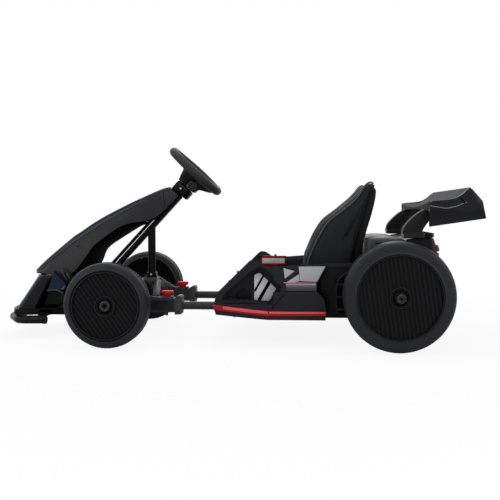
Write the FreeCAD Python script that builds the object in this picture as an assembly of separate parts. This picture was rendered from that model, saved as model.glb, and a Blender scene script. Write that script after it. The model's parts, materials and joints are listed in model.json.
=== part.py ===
import math
import os

import FreeCAD
import Part

# Child's electric drift kart. Millimetres, +X forward, +Y the kart's left, +Z up.
# The origin is on the floor under the middle of the whole kart.

V = FreeCAD.Vector

# Driving dimensions
FRONT_AXLE_X = 306.0
REAR_AXLE_X = -464.0
FRONT_TYRE_R = 114.5
REAR_TYRE_R = 144.0
FRONT_TYRE_WIDTH = 70.0
REAR_TYRE_WIDTH = 96.0
KINGPIN_Y = 228.0
KINGPIN_R = 6.0
RUNNING_GAP = 0.05
BODY_HALF = 228.0
TUBE_Y = 145.0
TUBE_Z = 98.0
TUBE_R = 11.5
SOCKET_REAR_X = 125.0
SOCKET_FRONT_X = 225.0

WHEEL_CENTRE = V(107, 0, 484)
COLUMN_TILT_DEG = 47.4
STEER_RIM_R = 94.0
STEER_TUBE_R = 13.0
POST_R = 11.5

# Places that follow from them
FRONT_TYRE_Y = KINGPIN_Y + 28 + FRONT_TYRE_WIDTH / 2
REAR_TYRE_Y = BODY_HALF + 24 + REAR_TYRE_WIDTH / 2
FLOOR_HALF = TUBE_Y + 4
POD_INNER_Y = TUBE_Y + 19.5
POD_TOP_Y = BODY_HALF + 5
POD_SILL_Y = BODY_HALF + 40
SEAT_HALF = POD_INNER_Y - 2.5
DECK_HALF = BODY_HALF - 2
WING_LEG_Y = DECK_HALF - 4
WING_END_Y = REAR_TYRE_Y + 5


def box(x0, x1, y0, y1, z0, z1):
    return Part.makeBox(x1 - x0, y1 - y0, z1 - z0, V(x0, y0, z0))


def rod(start, end, r):
    along = end - start
    return Part.makeCylinder(r, along.Length, start, along)


def outline_face(points, place):
    corners = [place(a, b) for a, b in points]
    return Part.Face(Part.makePolygon(corners + [corners[0]]))


def side_slab(points, y0, y1):
    face = outline_face(points, lambda x, z: V(x, y0, z))
    return face.extrude(V(0, y1 - y0, 0))


def plan_slab(points, z0, z1):
    face = outline_face(points, lambda x, y: V(x, y, z0))
    return face.extrude(V(0, 0, z1 - z0))


def turned(profile, centre):
    # profile holds (radius, distance along +Y) pairs and is turned about the Y axis
    face = outline_face(profile, lambda r, y: V(r, y, 0))
    body = face.revolve(V(0, 0, 0), V(0, 1, 0), 360)
    body.translate(centre)
    return body


def join(*solids):
    body = solids[0]
    if len(solids) > 1:
        body = body.multiFuse(list(solids[1:]))
    return body.removeSplitter()


def mirrored(shape):
    return shape.mirror(V(0, 0, 0), V(0, 1, 0))


def both_sides(shape):
    return Part.Compound([shape, mirrored(shape)])


def swept_tube(points, bend_r, tube_r):
    # a round tube along straight runs joined by arcs of bend_r
    runs = []
    start = points[0]
    for before, corner, after in zip(points, points[1:], points[2:]):
        a = (before - corner).normalize()
        b = (after - corner).normalize()
        half = a.getAngle(b) / 2
        reach = bend_r / math.tan(half)
        enter = corner + a * reach
        leave = corner + b * reach
        middle_dir = (a + b).normalize()
        centre = corner + middle_dir * (bend_r / math.sin(half))
        middle = centre - middle_dir * bend_r
        runs.append(Part.makeLine(start, enter))
        runs.append(Part.Arc(enter, middle, leave).toShape())
        start = leave
    runs.append(Part.makeLine(start, points[-1]))
    spine = Part.Wire(runs)
    along = points[1] - points[0]
    ring = Part.Wire(Part.makeCircle(tube_r, points[0], along))
    return spine.makePipeShell([ring], True, False)


parts = {}


# Wheels: tyre and ribbed disc, one table row per wheel pair.
# The hub cap stands out from the disc by cap_out; the ribs lean from the upright by rib_lean degrees.
WHEELS = {
    "front": dict(x=FRONT_AXLE_X, y=FRONT_TYRE_Y, r=FRONT_TYRE_R, width=FRONT_TYRE_WIDTH,
                  rim_r=FRONT_TYRE_R - 20.5, hub_r=24.0, cap_out=20.0, axle_r=6.0, hub_in=16.0,
                  rib_lean=35.0),
    "rear": dict(x=REAR_AXLE_X, y=REAR_TYRE_Y, r=REAR_TYRE_R, width=REAR_TYRE_WIDTH,
                 rim_r=REAR_TYRE_R - 33, hub_r=24.0, cap_out=24.0, axle_r=7.0, hub_in=24.0,
                 rib_lean=8.0),
}
RIB_PITCH = 10.8
RIB_WIDTH = 5.6
RIB_HEIGHT = 3.4
DISC_WALL = 3.5


def tyre(w):
    half = w["width"] / 2
    r = w["r"]
    bore = w["rim_r"]
    side = [(bore, half - 4), (bore + 3, half), (r - 13, half - 2.6), (r - 7, half - 6),
            (r - 2.5, half - 11), (r, half - 21)]
    profile = side + [(radius, -y) for radius, y in side[::-1]]
    return turned(profile, V(w["x"], w["y"], r))


def disc_ribs(w, reach, face):
    # upright bars across the flat of the disc, stopped short of the hub, turned to their lean
    count = int(2 * reach / RIB_PITCH)
    keep_out = w["hub_r"] + 4
    bars = []
    for index in range(count):
        offset = (index - (count - 1) / 2) * RIB_PITCH
        near, far = offset - RIB_WIDTH / 2, offset + RIB_WIDTH / 2
        tip = math.sqrt(reach ** 2 - (abs(offset) + RIB_WIDTH / 2) ** 2)
        start = max(abs(offset) - RIB_WIDTH / 2, 0)
        if start < keep_out:
            root = math.sqrt(keep_out ** 2 - start ** 2)
            bars.append(box(near, far, face - 0.5, face + RIB_HEIGHT, root, tip))
            bars.append(box(near, far, face - 0.5, face + RIB_HEIGHT, -tip, -root))
        else:
            bars.append(box(near, far, face - 0.5, face + RIB_HEIGHT, -tip, tip))
    ribs = Part.Compound(bars)
    ribs.rotate(V(0, 0, 0), V(0, 1, 0), -w["rib_lean"])
    ribs.translate(V(w["x"], w["y"], w["r"]))
    return ribs.Solids


def rim(w):
    # a disc near the outer face, a band under the tyre, a hub that runs on the axle and a cap over its tip
    half = w["width"] / 2
    band = w["rim_r"] - 0.5
    disc = half - 10
    face = disc - 2.5
    hub = w["hub_r"]
    bore = w["axle_r"] + RUNNING_GAP
    cap_end = disc + w["cap_out"] + 6
    profile = [
        (0, disc + 6.5), (0, cap_end - 3.5), (6, cap_end - 2.5), (8, cap_end), (12, cap_end - 1.5),
        (16, disc + 1), (hub - 4, disc + 1), (hub - 4, disc + 4), (hub, disc + 4),
        (hub, face), (band - 7, face), (band - 6, disc + 6), (band, disc + 6),
        (band, 8 - half), (band - 5, 8 - half), (band - 5, face - DISC_WALL), (hub - 5, face - DISC_WALL),
        (hub - 5, -w["hub_in"]), (bore, -w["hub_in"]), (bore, disc + 6.5),
    ]
    body = turned(profile, V(w["x"], w["y"], w["r"]))
    return body.multiFuse(disc_ribs(w, band - 8.5, face))


for end, w in WHEELS.items():
    for side in ("left", "right"):
        for name, make in (("tyre", tyre), ("rim", rim)):
            piece = make(w)
            if side == "right":
                piece = mirrored(piece)
            parts[f"{name}_{end}_{side}"] = piece


# Front knuckles on their kingpins, with a stub axle outward and an arm rearward
ARM_REACH = 60.0
BARREL_LOW_Z = 92.0
BARREL_HIGH_Z = 137.0
FORK_THICK = 12.0
FORK_GAP = 0.5
STUB_END_Y = FRONT_TYRE_Y + FRONT_TYRE_WIDTH / 2 - 6

barrel = rod(V(FRONT_AXLE_X, KINGPIN_Y, BARREL_LOW_Z), V(FRONT_AXLE_X, KINGPIN_Y, BARREL_HIGH_Z), 14)
stub = rod(V(FRONT_AXLE_X, KINGPIN_Y, FRONT_TYRE_R), V(FRONT_AXLE_X, STUB_END_Y, FRONT_TYRE_R), 6)
collar = rod(V(FRONT_AXLE_X, KINGPIN_Y, FRONT_TYRE_R), V(FRONT_AXLE_X, KINGPIN_Y + 38, FRONT_TYRE_R), 11)
arm_plan = [
    (FRONT_AXLE_X + 4, KINGPIN_Y - 9), (FRONT_AXLE_X - ARM_REACH, KINGPIN_Y - 8),
    (FRONT_AXLE_X - ARM_REACH - 8, KINGPIN_Y), (FRONT_AXLE_X - ARM_REACH, KINGPIN_Y + 8),
    (FRONT_AXLE_X + 4, KINGPIN_Y + 9),
]
arm = plan_slab(arm_plan, BARREL_LOW_Z, BARREL_LOW_Z + 8)
pin_hole = rod(V(FRONT_AXLE_X, KINGPIN_Y, 60), V(FRONT_AXLE_X, KINGPIN_Y, 160), KINGPIN_R + RUNNING_GAP)
knuckle = join(barrel, stub, collar, arm).cut(pin_hole)
parts["knuckle_left"] = knuckle
parts["knuckle_right"] = mirrored(knuckle)

# The front axle beam: a box section with a fork and a fixed kingpin at each end
BEAM_LOW_Z = 102.0
BEAM_HIGH_Z = 128.0
beam = box(FRONT_AXLE_X - 15, FRONT_AXLE_X + 15, 20 - KINGPIN_Y, KINGPIN_Y - 20, BEAM_LOW_Z, BEAM_HIGH_Z)
fork_low = BARREL_LOW_Z - FORK_GAP
fork_high = BARREL_HIGH_Z + FORK_GAP
forks = []
for y in (-KINGPIN_Y, KINGPIN_Y):
    inner = y - math.copysign(36, y)
    near, far = sorted((inner, y))
    forks.append(box(FRONT_AXLE_X - 15, FRONT_AXLE_X + 15, near, far, fork_low - FORK_THICK, fork_low))
    forks.append(box(FRONT_AXLE_X - 15, FRONT_AXLE_X + 15, near, far, fork_high, fork_high + FORK_THICK))
    web_near, web_far = sorted((inner, inner + math.copysign(16, y)))
    forks.append(box(FRONT_AXLE_X - 15, FRONT_AXLE_X + 15, web_near, web_far,
                     fork_low - FORK_THICK, fork_high + FORK_THICK))
    forks.append(rod(V(FRONT_AXLE_X, y, fork_low - FORK_THICK), V(FRONT_AXLE_X, y, fork_low), 15))
    forks.append(rod(V(FRONT_AXLE_X, y, fork_high), V(FRONT_AXLE_X, y, fork_high + FORK_THICK), 15))
    forks.append(rod(V(FRONT_AXLE_X, y, fork_low - FORK_THICK - 4),
                     V(FRONT_AXLE_X, y, fork_high + FORK_THICK + 6), KINGPIN_R))
parts["front_axle_beam"] = join(beam, *forks)

# The track rod: it slides across under the knuckle arms and its tongue reaches the steering crank
TRACK_ROD_X = FRONT_AXLE_X - ARM_REACH
TRACK_ROD_Z = 77.0
track = rod(V(TRACK_ROD_X, -KINGPIN_Y, TRACK_ROD_Z), V(TRACK_ROD_X, KINGPIN_Y, TRACK_ROD_Z), 4)
eyes = []
for y in (-KINGPIN_Y, KINGPIN_Y):
    eyes.append(rod(V(TRACK_ROD_X, y, TRACK_ROD_Z - 5), V(TRACK_ROD_X, y, TRACK_ROD_Z + 5), 9))
    eyes.append(rod(V(TRACK_ROD_X, y, TRACK_ROD_Z), V(TRACK_ROD_X, y, BARREL_LOW_Z - 0.4), 4))
tongue_up = box(TRACK_ROD_X - 5, TRACK_ROD_X + 5, -12, 12, TRACK_ROD_Z, 144)
tongue = box(TRACK_ROD_X - 5, 372, -9, 9, 138, 144)
parts["track_rod"] = join(track, tongue_up, tongue, *eyes)


# The steering column. Distances along it run down from the middle of the steering wheel.
TILT = math.radians(COLUMN_TILT_DEG)
DOWN = V(math.cos(TILT), 0, -math.sin(TILT))
ACROSS = V(math.sin(TILT), 0, math.cos(TILT))


def on_column(down, across=0.0, y=0.0):
    return WHEEL_CENTRE + DOWN * down + ACROSS * across + V(0, y, 0)


def column_slab(outline, half):
    # (down, across) pairs extruded evenly to both sides of the kart
    corners = [on_column(down, across, -half) for down, across in outline]
    return Part.Face(Part.makePolygon(corners + [corners[0]])).extrude(V(0, 2 * half, 0))


SHAFT_END = 424.0
CRANK_REACH = 36.0
shaft = rod(on_column(20), on_column(SHAFT_END), 5)
crank = rod(on_column(SHAFT_END - 6), on_column(SHAFT_END - 6, -CRANK_REACH), 5)
crank_ball = Part.makeSphere(7, on_column(SHAFT_END - 6, -CRANK_REACH))
parts["steering_shaft"] = join(shaft, crank, crank_ball)

RING_BACK = 2.0
BOSS_END = 46.0
ring = Part.makeTorus(STEER_RIM_R, STEER_TUBE_R, on_column(-RING_BACK), DOWN)
hub_plate = rod(on_column(2), on_column(16), 34)
spokes = []
for degrees in (0, 115, -115):
    turn = math.radians(degrees)
    outward = (ACROSS * -math.cos(turn) + V(0, math.sin(turn), 0))
    side = DOWN.cross(outward)
    sections = []
    for reach, half_wide, near, far in ((18, 22, 4, 16), (50, 15, 3, 12), (STEER_RIM_R - 7, 15, -3, 7)):
        middle = WHEEL_CENTRE + outward * reach
        corners = [middle + side * half_wide + DOWN * near, middle - side * half_wide + DOWN * near,
                   middle - side * half_wide + DOWN * far, middle + side * half_wide + DOWN * far]
        sections.append(Part.makePolygon(corners + [corners[0]]))
    spokes.append(Part.makeLoft(sections, True, True))
boss = Part.makeCone(31, 20, BOSS_END - 15, on_column(15), DOWN)


under_side = [(8, 8 - STEER_RIM_R), (15, 10 - STEER_RIM_R), (33, -47), (36, -30), (30, 0), (10, 0)]
under_cover = column_slab(under_side, 24)
top_cover = column_slab([(14, 30), (40, 24), (45, 8), (45, -8), (12, -10)], 17)
bore = rod(on_column(20), on_column(60), 5)
parts["steering_wheel"] = join(ring, hub_plate, boss, under_cover, top_cover, *spokes).cut(bore)

# The clamp head at the top of the column, split along its lower jaw
HEAD_START = BOSS_END + 6.5
HEAD_HALF = 20.0
head = column_slab([(HEAD_START, 13), (80, 13), (84, 8), (84, -14), (80, -23), (76, -38), (58, -39),
                    (HEAD_START + 1, -22)], HEAD_HALF)
jaw_line = column_slab([(61, -39.1), (73, -38.6), (71, -26), (63, -26)], HEAD_HALF + 1)
parts["column_head"] = head.cut(jaw_line).cut(rod(on_column(40), on_column(120), 5.05))


def column_bar(near, far, across_low, across_high, half):
    return column_slab([(near, across_low), (far, across_low), (far, across_high), (near, across_high)], half)


column_tube = column_bar(85, 408, -23, -7.5, 12)
POST_X = 241.0
column_post = rod(V(POST_X, 0, 168), V(POST_X, 0, 318), POST_R)


# Front frame: lower rails to the bumper, upper rails to the sockets, and the column's stand
RAIL_NEAR_Y = 62.0
RAIL_FAR_Y = 82.0
frame_bits = []
for y0, y1 in ((RAIL_NEAR_Y, RAIL_FAR_Y), (-RAIL_FAR_Y, -RAIL_NEAR_Y)):
    frame_bits.append(box(FRONT_AXLE_X - 15, 548, y0, y1, 60, 76))
    frame_bits.append(box(FRONT_AXLE_X - 15, FRONT_AXLE_X + 15, y0, y1, 60, BEAM_LOW_Z))
frame_bits.append(box(343, 361, -RAIL_FAR_Y, RAIL_FAR_Y, 60, 84))
frame_bits.append(box(343, 361, 42, 54, 60, 182))
frame_bits.append(box(343, 361, -54, -42, 60, 182))
frame_bits.append(box(343, 367, -54, 54, 170, 182))
frame_bits.append(box(428, 446, -125, 125, 60, 76))
frame_bits.append(box(528, 546, -146, 146, 60, 74))
front_rails = join(*frame_bits).cut(column_bar(80, 420, -23.1, 10, 12.1))

def cast_arm(start, end, half_deep, half_high):
    # a straight arm of rectangular section, deep along the kart and tapered to its end
    sections = []
    for middle, share in ((start, 1.0), (end, 0.8)):
        corners = [middle + V(half_deep * share * a, 0, half_high * share * b)
                   for a, b in ((1, 1), (-1, 1), (-1, -1), (1, -1))]
        sections.append(Part.makePolygon(corners + [corners[0]]))
    return Part.makeLoft(sections, True, True)


# The column's stand: a square foot for the post on a round-backed casting with an arm to each socket
FOOT_HALF = 14.5
casting_side = [(228, 134), (214, 138), (212, 154), (222, 166), (262, 166), (269, 158), (266, 150.5),
                (230.5, 150.5)]
stand = [side_slab(casting_side, -24, 24), rod(V(221, -30, 146), V(221, 30, 146), 9.5),
         box(POST_X - FOOT_HALF, POST_X + FOOT_HALF, -FOOT_HALF, FOOT_HALF, 165, 181)]
for y in (1, -1):
    stand.append(cast_arm(V(219, 14 * y, 149), V(211, 140 * y, 122), 12, 8))
    stand.append(cast_arm(V(258, 16 * y, 161), V(300, 104 * y, 130), 9, 5))
column_frame = join(column_tube, column_post.cut(column_bar(80, 420, -15, 10, 20)), *stand)
column_frame = column_frame.cut(box(280, 330, -150, 150, 100, BEAM_HIGH_Z))

# Clamp sockets that take the telescopic tubes: a body with a split collar at its mouth
SOCKET_HALF = 23.0
SOCKET_TOP_Z = 124.0
COLLAR_LENGTH = 20.0
collar_front = SOCKET_REAR_X + COLLAR_LENGTH
socket_side = [
    (collar_front - 1, 80), (SOCKET_FRONT_X - 12, 79), (SOCKET_FRONT_X, 88), (SOCKET_FRONT_X, 112),
    (SOCKET_FRONT_X - 14, SOCKET_TOP_Z), (collar_front - 1, 119),
]
collar_side = [
    (SOCKET_REAR_X, 84), (SOCKET_REAR_X + 2, 75), (collar_front, 74), (collar_front, 121),
    (SOCKET_REAR_X + 12, 127), (SOCKET_REAR_X + 3, 127), (SOCKET_REAR_X, 122),
]
socket = side_slab(socket_side, TUBE_Y - SOCKET_HALF + 4, TUBE_Y + SOCKET_HALF - 4)
collar = side_slab(collar_side, TUBE_Y - SOCKET_HALF, TUBE_Y + SOCKET_HALF)
collar_split = box(SOCKET_REAR_X - 1, collar_front + 1, TUBE_Y - 1.5, TUBE_Y + 1.5, 60, TUBE_Z)
neck = rod(V(SOCKET_REAR_X + 46, TUBE_Y, 69), V(SOCKET_REAR_X + 46, TUBE_Y, 82), 4)
latch_seat = box(151, 187, TUBE_Y - 10, TUBE_Y + 10, 116, SOCKET_TOP_Z)
upper_rail = box(SOCKET_FRONT_X - 20, FRONT_AXLE_X - 15, TUBE_Y - 9, TUBE_Y + 9, 114, 124)
socket = join(socket, collar.cut(collar_split), neck, latch_seat, upper_rail)
socket = socket.cut(rod(V(100, TUBE_Y, TUBE_Z), V(250, TUBE_Y, TUBE_Z), TUBE_R + RUNNING_GAP))
sockets = both_sides(socket)
parts["tube_sockets"] = sockets
parts["column_frame"] = column_frame.cut(sockets)

# Red latches on the sockets: a fan-shaped thumb piece on a short waist
LATCH_X = 169.0
latch_side = [
    (LATCH_X - 18, SOCKET_TOP_Z + 13), (LATCH_X - 17, SOCKET_TOP_Z + 8), (LATCH_X - 11, SOCKET_TOP_Z + 3),
    (LATCH_X - 9, SOCKET_TOP_Z), (LATCH_X + 9, SOCKET_TOP_Z), (LATCH_X + 11, SOCKET_TOP_Z + 3),
    (LATCH_X + 17, SOCKET_TOP_Z + 8), (LATCH_X + 18, SOCKET_TOP_Z + 13), (LATCH_X + 14, SOCKET_TOP_Z + 16),
    (LATCH_X - 14, SOCKET_TOP_Z + 16),
]
latch = side_slab(latch_side, TUBE_Y - 13, TUBE_Y + 13)
parts["clamp_latches"] = both_sides(latch)

# Telescopic tubes: fixed to the rear half, free to slide in the sockets
tube = rod(V(-90, TUBE_Y, TUBE_Z), V(SOCKET_FRONT_X - 10, TUBE_Y, TUBE_Z), TUBE_R)
parts["telescopic_tubes"] = both_sides(tube)

# Front bumper tube: a U in plan that dips to its nose
bumper_run = [V(524, 150, 55), V(610, 150, 48.5), V(673, 62, 41), V(673, -62, 41),
              V(610, -150, 48.5), V(524, -150, 55)]
bumper = swept_tube(bumper_run, 34, 11)
parts["bumper_tube"] = bumper
parts["front_rails"] = front_rails.cut(bumper)


# Lower nose: a thin wrapped front wall that leans back, on a splitter tray with a proud lip
NOSE_HALF = 150.0
NOSE_SHOULDER_HALF = 96.0
NOSE_WALL = 5.0
NOSE_LEVELS = [
    # height, rear x, corner x, shoulder x, tip x
    (82, 555, 607, 624, 638),
    (130, 532, 574, 591, 604),
    (182, 509, 540, 556, 566),
]


def nose_wall_ring(level):
    # the half outline is mirrored and given an inner edge one wall thickness in
    z, rear, corner, shoulder, tip = level
    half = [(rear, NOSE_HALF), (corner - 6, NOSE_HALF), (corner, NOSE_HALF - 7),
            (shoulder, NOSE_SHOULDER_HALF), ((shoulder + tip * 2) / 3, NOSE_SHOULDER_HALF / 2), (tip, 0)]
    inner = [(rear, NOSE_HALF - NOSE_WALL), (corner - 8, NOSE_HALF - NOSE_WALL), (corner - 5, NOSE_HALF - 12)]
    inner = inner + [(x - NOSE_WALL, y) for x, y in half[3:]]
    outer_run = half + [(x, -y) for x, y in half[-2::-1]]
    inner_run = inner + [(x, -y) for x, y in inner[-2::-1]]
    corners = [V(x, y, z) for x, y in outer_run + inner_run[::-1]]
    return Part.makePolygon(corners + [corners[0]])


nose_wall = Part.makeLoft([nose_wall_ring(level) for level in NOSE_LEVELS], True, True)
tray_half = [(470, 110), (556, 153), (613, 153), (617, 149), (632, 96), (642, 48), (646, 0)]
tray_plan = tray_half + [(x, -y) for x, y in tray_half[-2::-1]]
tray = plan_slab(tray_plan, 76, 84)
parts["nose_lower"] = join(nose_wall, tray)

# Hood stations run from the nose to the column. Each holds the ridge, the lower edge, the half
# widths at both, and how deep the band under the ridge is pressed in, from 0 to 1.
HOOD_STATIONS = [
    (574, 190, 562, 184, 72, 102, 0.0),
    (566, 199, 548, 183, 74, 105, 0.0),
    (540, 224, 515, 183, 72, 106, 0.2),
    (506, 253, 460, 183, 70, 106, 0.5),
    (463, 289, 417, 231, 66, 101, 0.9),
    (439, 305, 398, 260, 64, 98, 1.0),
    (415, 322, 380, 276, 62, 95, 1.0),
    (375, 347, 352, 297, 58, 90, 1.0),
    (324, 374, 318, 320, 53, 84, 1.0),
    (290, 391, 284, 331, 49, 77, 0.8),
    (264, 403, 256, 335, 46, 71, 0.5),
    (222, 422, 222, 345, 40, 62, 0.3),
    (200, 431, 190, 372, 34, 54, 0.1),
    (181, 436, 153, 412, 30, 44, 0.0),
]
HOOD_WALL = 4.0
HOOD_CROWN = 3.0
BAND_TOP = 7.0
BAND_LOW = 17.0
BAND_DEPTH = 3.0


def hood_ring(station):
    ridge_x, ridge_z, edge_x, edge_z, ridge_half, edge_half, band = station
    fall = math.hypot(edge_x - ridge_x, edge_z - ridge_z)
    spread = edge_half - ridge_half
    top = min(BAND_TOP, fall * 0.2)
    low = min(BAND_LOW, fall * 0.45)

    def on_side(down, y):
        t = down / fall
        return (ridge_x + (edge_x - ridge_x) * t, y, ridge_z + (edge_z - ridge_z) * t)

    def spread_to(share, inward=0.0):
        return ridge_half + spread * share - inward

    pressed = BAND_DEPTH * band
    outer = [on_side(fall, edge_half), on_side(fall * 0.7, spread_to(0.9)),
             on_side(low + 1.5, spread_to(0.5)), on_side(low, spread_to(0.45, pressed)),
             on_side(top, spread_to(0.25, pressed * 0.6)),
             on_side(top * 0.8, spread_to(0.2)), on_side(0, ridge_half),
             on_side(-HOOD_CROWN * 0.75, ridge_half * 0.5), on_side(-HOOD_CROWN, 0)]
    inner = [on_side(fall, edge_half - HOOD_WALL), on_side(fall * 0.7, spread_to(0.9, HOOD_WALL)),
             on_side(low, spread_to(0.45, HOOD_WALL + BAND_DEPTH)),
             on_side(HOOD_WALL + 1, spread_to(0.1, HOOD_WALL + 2)), on_side(HOOD_WALL, 0)]
    outer_run = outer + [(x, -y, z) for x, y, z in outer[-2::-1]]
    inner_run = inner + [(x, -y, z) for x, y, z in inner[-2::-1]]
    corners = [V(*point) for point in outer_run + inner_run[::-1]]
    return Part.makePolygon(corners + [corners[0]])


parts["hood"] = Part.makeLoft([hood_ring(station) for station in HOOD_STATIONS], True, True)

# Black liner that closes the hood from below, from station to station of its lower line
LINER_STATIONS = [
    # lower x, lower z, lower half, upper x, upper z, upper half
    (426, 188, 80, 457, 188, 104),
    (411, 212, 80, 419, 234, 99),
    (398, 243, 78, 401, 262, 96),
    (379, 262, 76, 382, 279, 93),
    (349, 281, 73, 354, 300, 88),
    (315, 302, 68, 320, 323, 82),
    (281, 321, 62, 286, 334, 75),
    (252, 329, 56, 258, 338, 69),
]
liner_rings = []
for low_x, low_z, low_half, high_x, high_z, high_half in LINER_STATIONS:
    ring = [V(low_x, -low_half, low_z), V(low_x, low_half, low_z), V(high_x, high_half, high_z),
            V(high_x, -high_half, high_z)]
    liner_rings.append(Part.makePolygon(ring + [ring[0]]))
liner = Part.makeLoft(liner_rings, True, True)
liner = liner.cut(column_bar(80, 420, -26, 10, 16)).cut(parts["hood"])
parts["hood_liner"] = max(liner.Solids, key=lambda solid: solid.Volume)


def planed(shape, point, normal):
    # what lies beyond the plane through a point is taken away
    block = Part.makeBox(800, 800, 800, V(-400, -400, 0))
    block.Placement = FreeCAD.Placement(point, FreeCAD.Rotation(V(0, 0, 1), normal))
    return shape.cut(block)


# Side intake lenses beside the nose: four flat facets that fall away from one raised crease
lens_y = NOSE_HALF - 8
lens = side_slab([(521, 137), (483, 134), (466, 154), (503, 194), (511, 184)], lens_y - 30, lens_y)
for point, normal in (
    (V(516, lens_y, 141), V(0.34, 1, 0.10)),
    (V(492, lens_y - 1, 142), V(-0.30, 1, 0.16)),
    (V(486, lens_y, 138), V(-0.10, 1, -0.45)),
    (V(508, lens_y - 4, 180), V(0.10, 1, 0.42)),
):
    lens = planed(lens, point, normal)
parts["side_lenses"] = both_sides(lens)

# Brackets behind the lenses: an upright web with a ribbed head that clears the flank of the hood
bracket_face = [(503, 182.7), (463, 135), (446, 76.2), (430, 76.2), (434, 165), (460, 182.7)]
bracket_y = NOSE_HALF - 38.5
bracket = side_slab(bracket_face, bracket_y - 25.5, bracket_y - 4.5)
for step in range(4):
    lift = step * 9.0
    fin = [(497 - lift, 188 - lift * 0.3), (491 - lift, 191 - lift * 0.4),
           (466 - lift * 0.4, 160 - lift * 0.2), (470 - lift * 0.4, 154 + lift * 0.1)]
    bracket = bracket.fuse(side_slab(fin, bracket_y - 11.5, bracket_y))
under_hood = box(400, 560, 80, 106.6, 182.7, 230)
parts["side_brackets"] = both_sides(bracket.cut(under_hood).removeSplitter())

# Foot pedals on the front crossbar: brake on the left, accelerator on the right
pedals = []
for y in (66, -66):
    plate = side_slab([(428, 92), (436, 92), (466, 165), (458, 168)], y - 18, y + 18)
    foot = side_slab([(430, 76), (444, 76), (444, 95), (430, 95)], y - 12, y + 12)
    pedals.append(join(plate, foot))
parts["foot_pedals"] = Part.Compound(pedals)


# Rear half: floor pan, side pods, seat, rear body, drive and wing
PAN_LOW_Z = 68.0
PAN_HIGH_Z = 76.0
pan_plan = [(28, -118), (28, 118), (-20, FLOOR_HALF), (-560, FLOOR_HALF),
            (-560, -FLOOR_HALF), (-20, -FLOOR_HALF)]
pan = plan_slab(pan_plan, PAN_LOW_Z, PAN_HIGH_Z)
lip = box(20, 28, -118, 118, PAN_HIGH_Z, PAN_HIGH_Z + 8)
ribs = []
for x in (-60, -140, -220):
    ribs.append(box(x - 4, x + 4, -110, 110, PAN_HIGH_Z, PAN_HIGH_Z + 4))
clamp_bits = []
for y in (TUBE_Y, -TUBE_Y):
    block = box(-86, -20, y - 18, y + 18, PAN_LOW_Z, 116)
    clamp_bits.append(block)
seat_risers = [box(-330, -300, -60, 60, PAN_HIGH_Z, 134), box(-56, -30, -60, 60, PAN_HIGH_Z, 146.7)]
floor = join(pan, lip, *ribs, *clamp_bits, *seat_risers)
for y in (TUBE_Y, -TUBE_Y):
    floor = floor.cut(rod(V(-95, y, TUBE_Z), V(60, y, TUBE_Z), TUBE_R))
parts["floor_pan"] = floor

# Side pods: a sill with a leaning flank, an arch bitten out at the rear, and a deep recess whose
# rear edge is a V-shaped rib
POD_LEDGE_Y = POD_TOP_Y + 14
RECESS_FLOOR_Y = POD_TOP_Y - 17
pod_side = [
    (25, 110), (17, 88), (-74, 79), (-121, 75), (-276, 75), (-277, 104), (-272, 131), (-251, 152),
    (-251, 170), (-277, 213), (-283, 224), (-107, 224), (-98, 231), (-88, 234), (-77, 234),
    (-70, 230), (13, 148), (22, 128),
]
# each lean is a run of (y, z) pairs and the two x ends it is cut between
rear_lean = [(POD_SILL_Y + 1, 144), (POD_LEDGE_Y, 156), (POD_LEDGE_Y - 1, 160), (POD_TOP_Y, 224),
             (POD_TOP_Y - 6, 241), (POD_SILL_Y + 40, 241), (POD_SILL_Y + 40, 144)]
front_lean = [(POD_SILL_Y + 1, 112), (POD_LEDGE_Y, 119), (POD_TOP_Y + 3, 226), (POD_TOP_Y - 6, 241),
              (POD_SILL_Y + 40, 241), (POD_SILL_Y + 40, 112)]
recess_side = [(3, 122), (3, 138), (-66, 206), (-80, 212), (-96, 211), (-104, 204), (-156, 158),
               (-150, 150), (-124, 121)]
rib_side = [(-88, 214), (-100, 216), (-113, 208), (-171, 158), (-166, 150), (-131, 101), (-118, 112),
            (-147, 153), (-100, 199)]
lip_side = [(4, 118), (2, 122), (-80, 127), (-120, 114), (-122, 108), (-74, 119)]
pod = side_slab(pod_side, POD_INNER_Y, POD_SILL_Y)
for lean, start_x, end_x in ((rear_lean, -300, -136), (front_lean, -136, 40)):
    face = outline_face(lean, lambda y, z: V(start_x, y, z))
    pod = pod.cut(face.extrude(V(end_x - start_x, 0, 0)))
pod = pod.cut(side_slab(recess_side, RECESS_FLOOR_Y, POD_SILL_Y + 30))
rib = side_slab(rib_side, RECESS_FLOOR_Y - 1, POD_TOP_Y + 8)
ledge = side_slab(lip_side, RECESS_FLOOR_Y - 1, POD_SILL_Y - 13)
panel = box(-140, -86, RECESS_FLOOR_Y - 1, RECESS_FLOOR_Y + 2, 120, 186)
cheek = box(-400, -240, POD_INNER_Y, BODY_HALF, 76.5, 213.5)
cheek_cap = box(-356, -270, POD_INNER_Y, BODY_HALF + 3, 213, 224)
pod = join(pod, rib, ledge, panel, cheek, cheek_cap)
parts["pod_left"] = pod
parts["pod_right"] = mirrored(pod)

stripe_side = [(25, 111), (20, 100), (-74, 90), (-122, 85.5), (-276, 88), (-276, 98.5), (-122, 99.5),
               (-60, 106)]
stripe = side_slab(stripe_side, POD_SILL_Y, POD_SILL_Y + 3)
parts["sill_stripes"] = both_sides(stripe)

# Control panel on the inner face of the right pod: a frame with a nub above and a tab below, and its face
panel_y = -POD_INNER_Y
frame_side = [(-161, 194), (-133, 194), (-130, 189), (-120, 189), (-117, 194), (-79, 193), (-79, 223),
              (-122, 223), (-124, 228), (-130, 228), (-132, 223), (-161, 223)]
window_side = [(-155.5, 199), (-84.5, 198), (-84.5, 215.5), (-155.5, 216.5)]
parts["control_frame"] = side_slab(frame_side, panel_y, panel_y + 6).cut(
    side_slab(window_side, panel_y + 3, panel_y + 8))
parts["control_face"] = side_slab(window_side, panel_y + 3, panel_y + 5)

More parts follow.
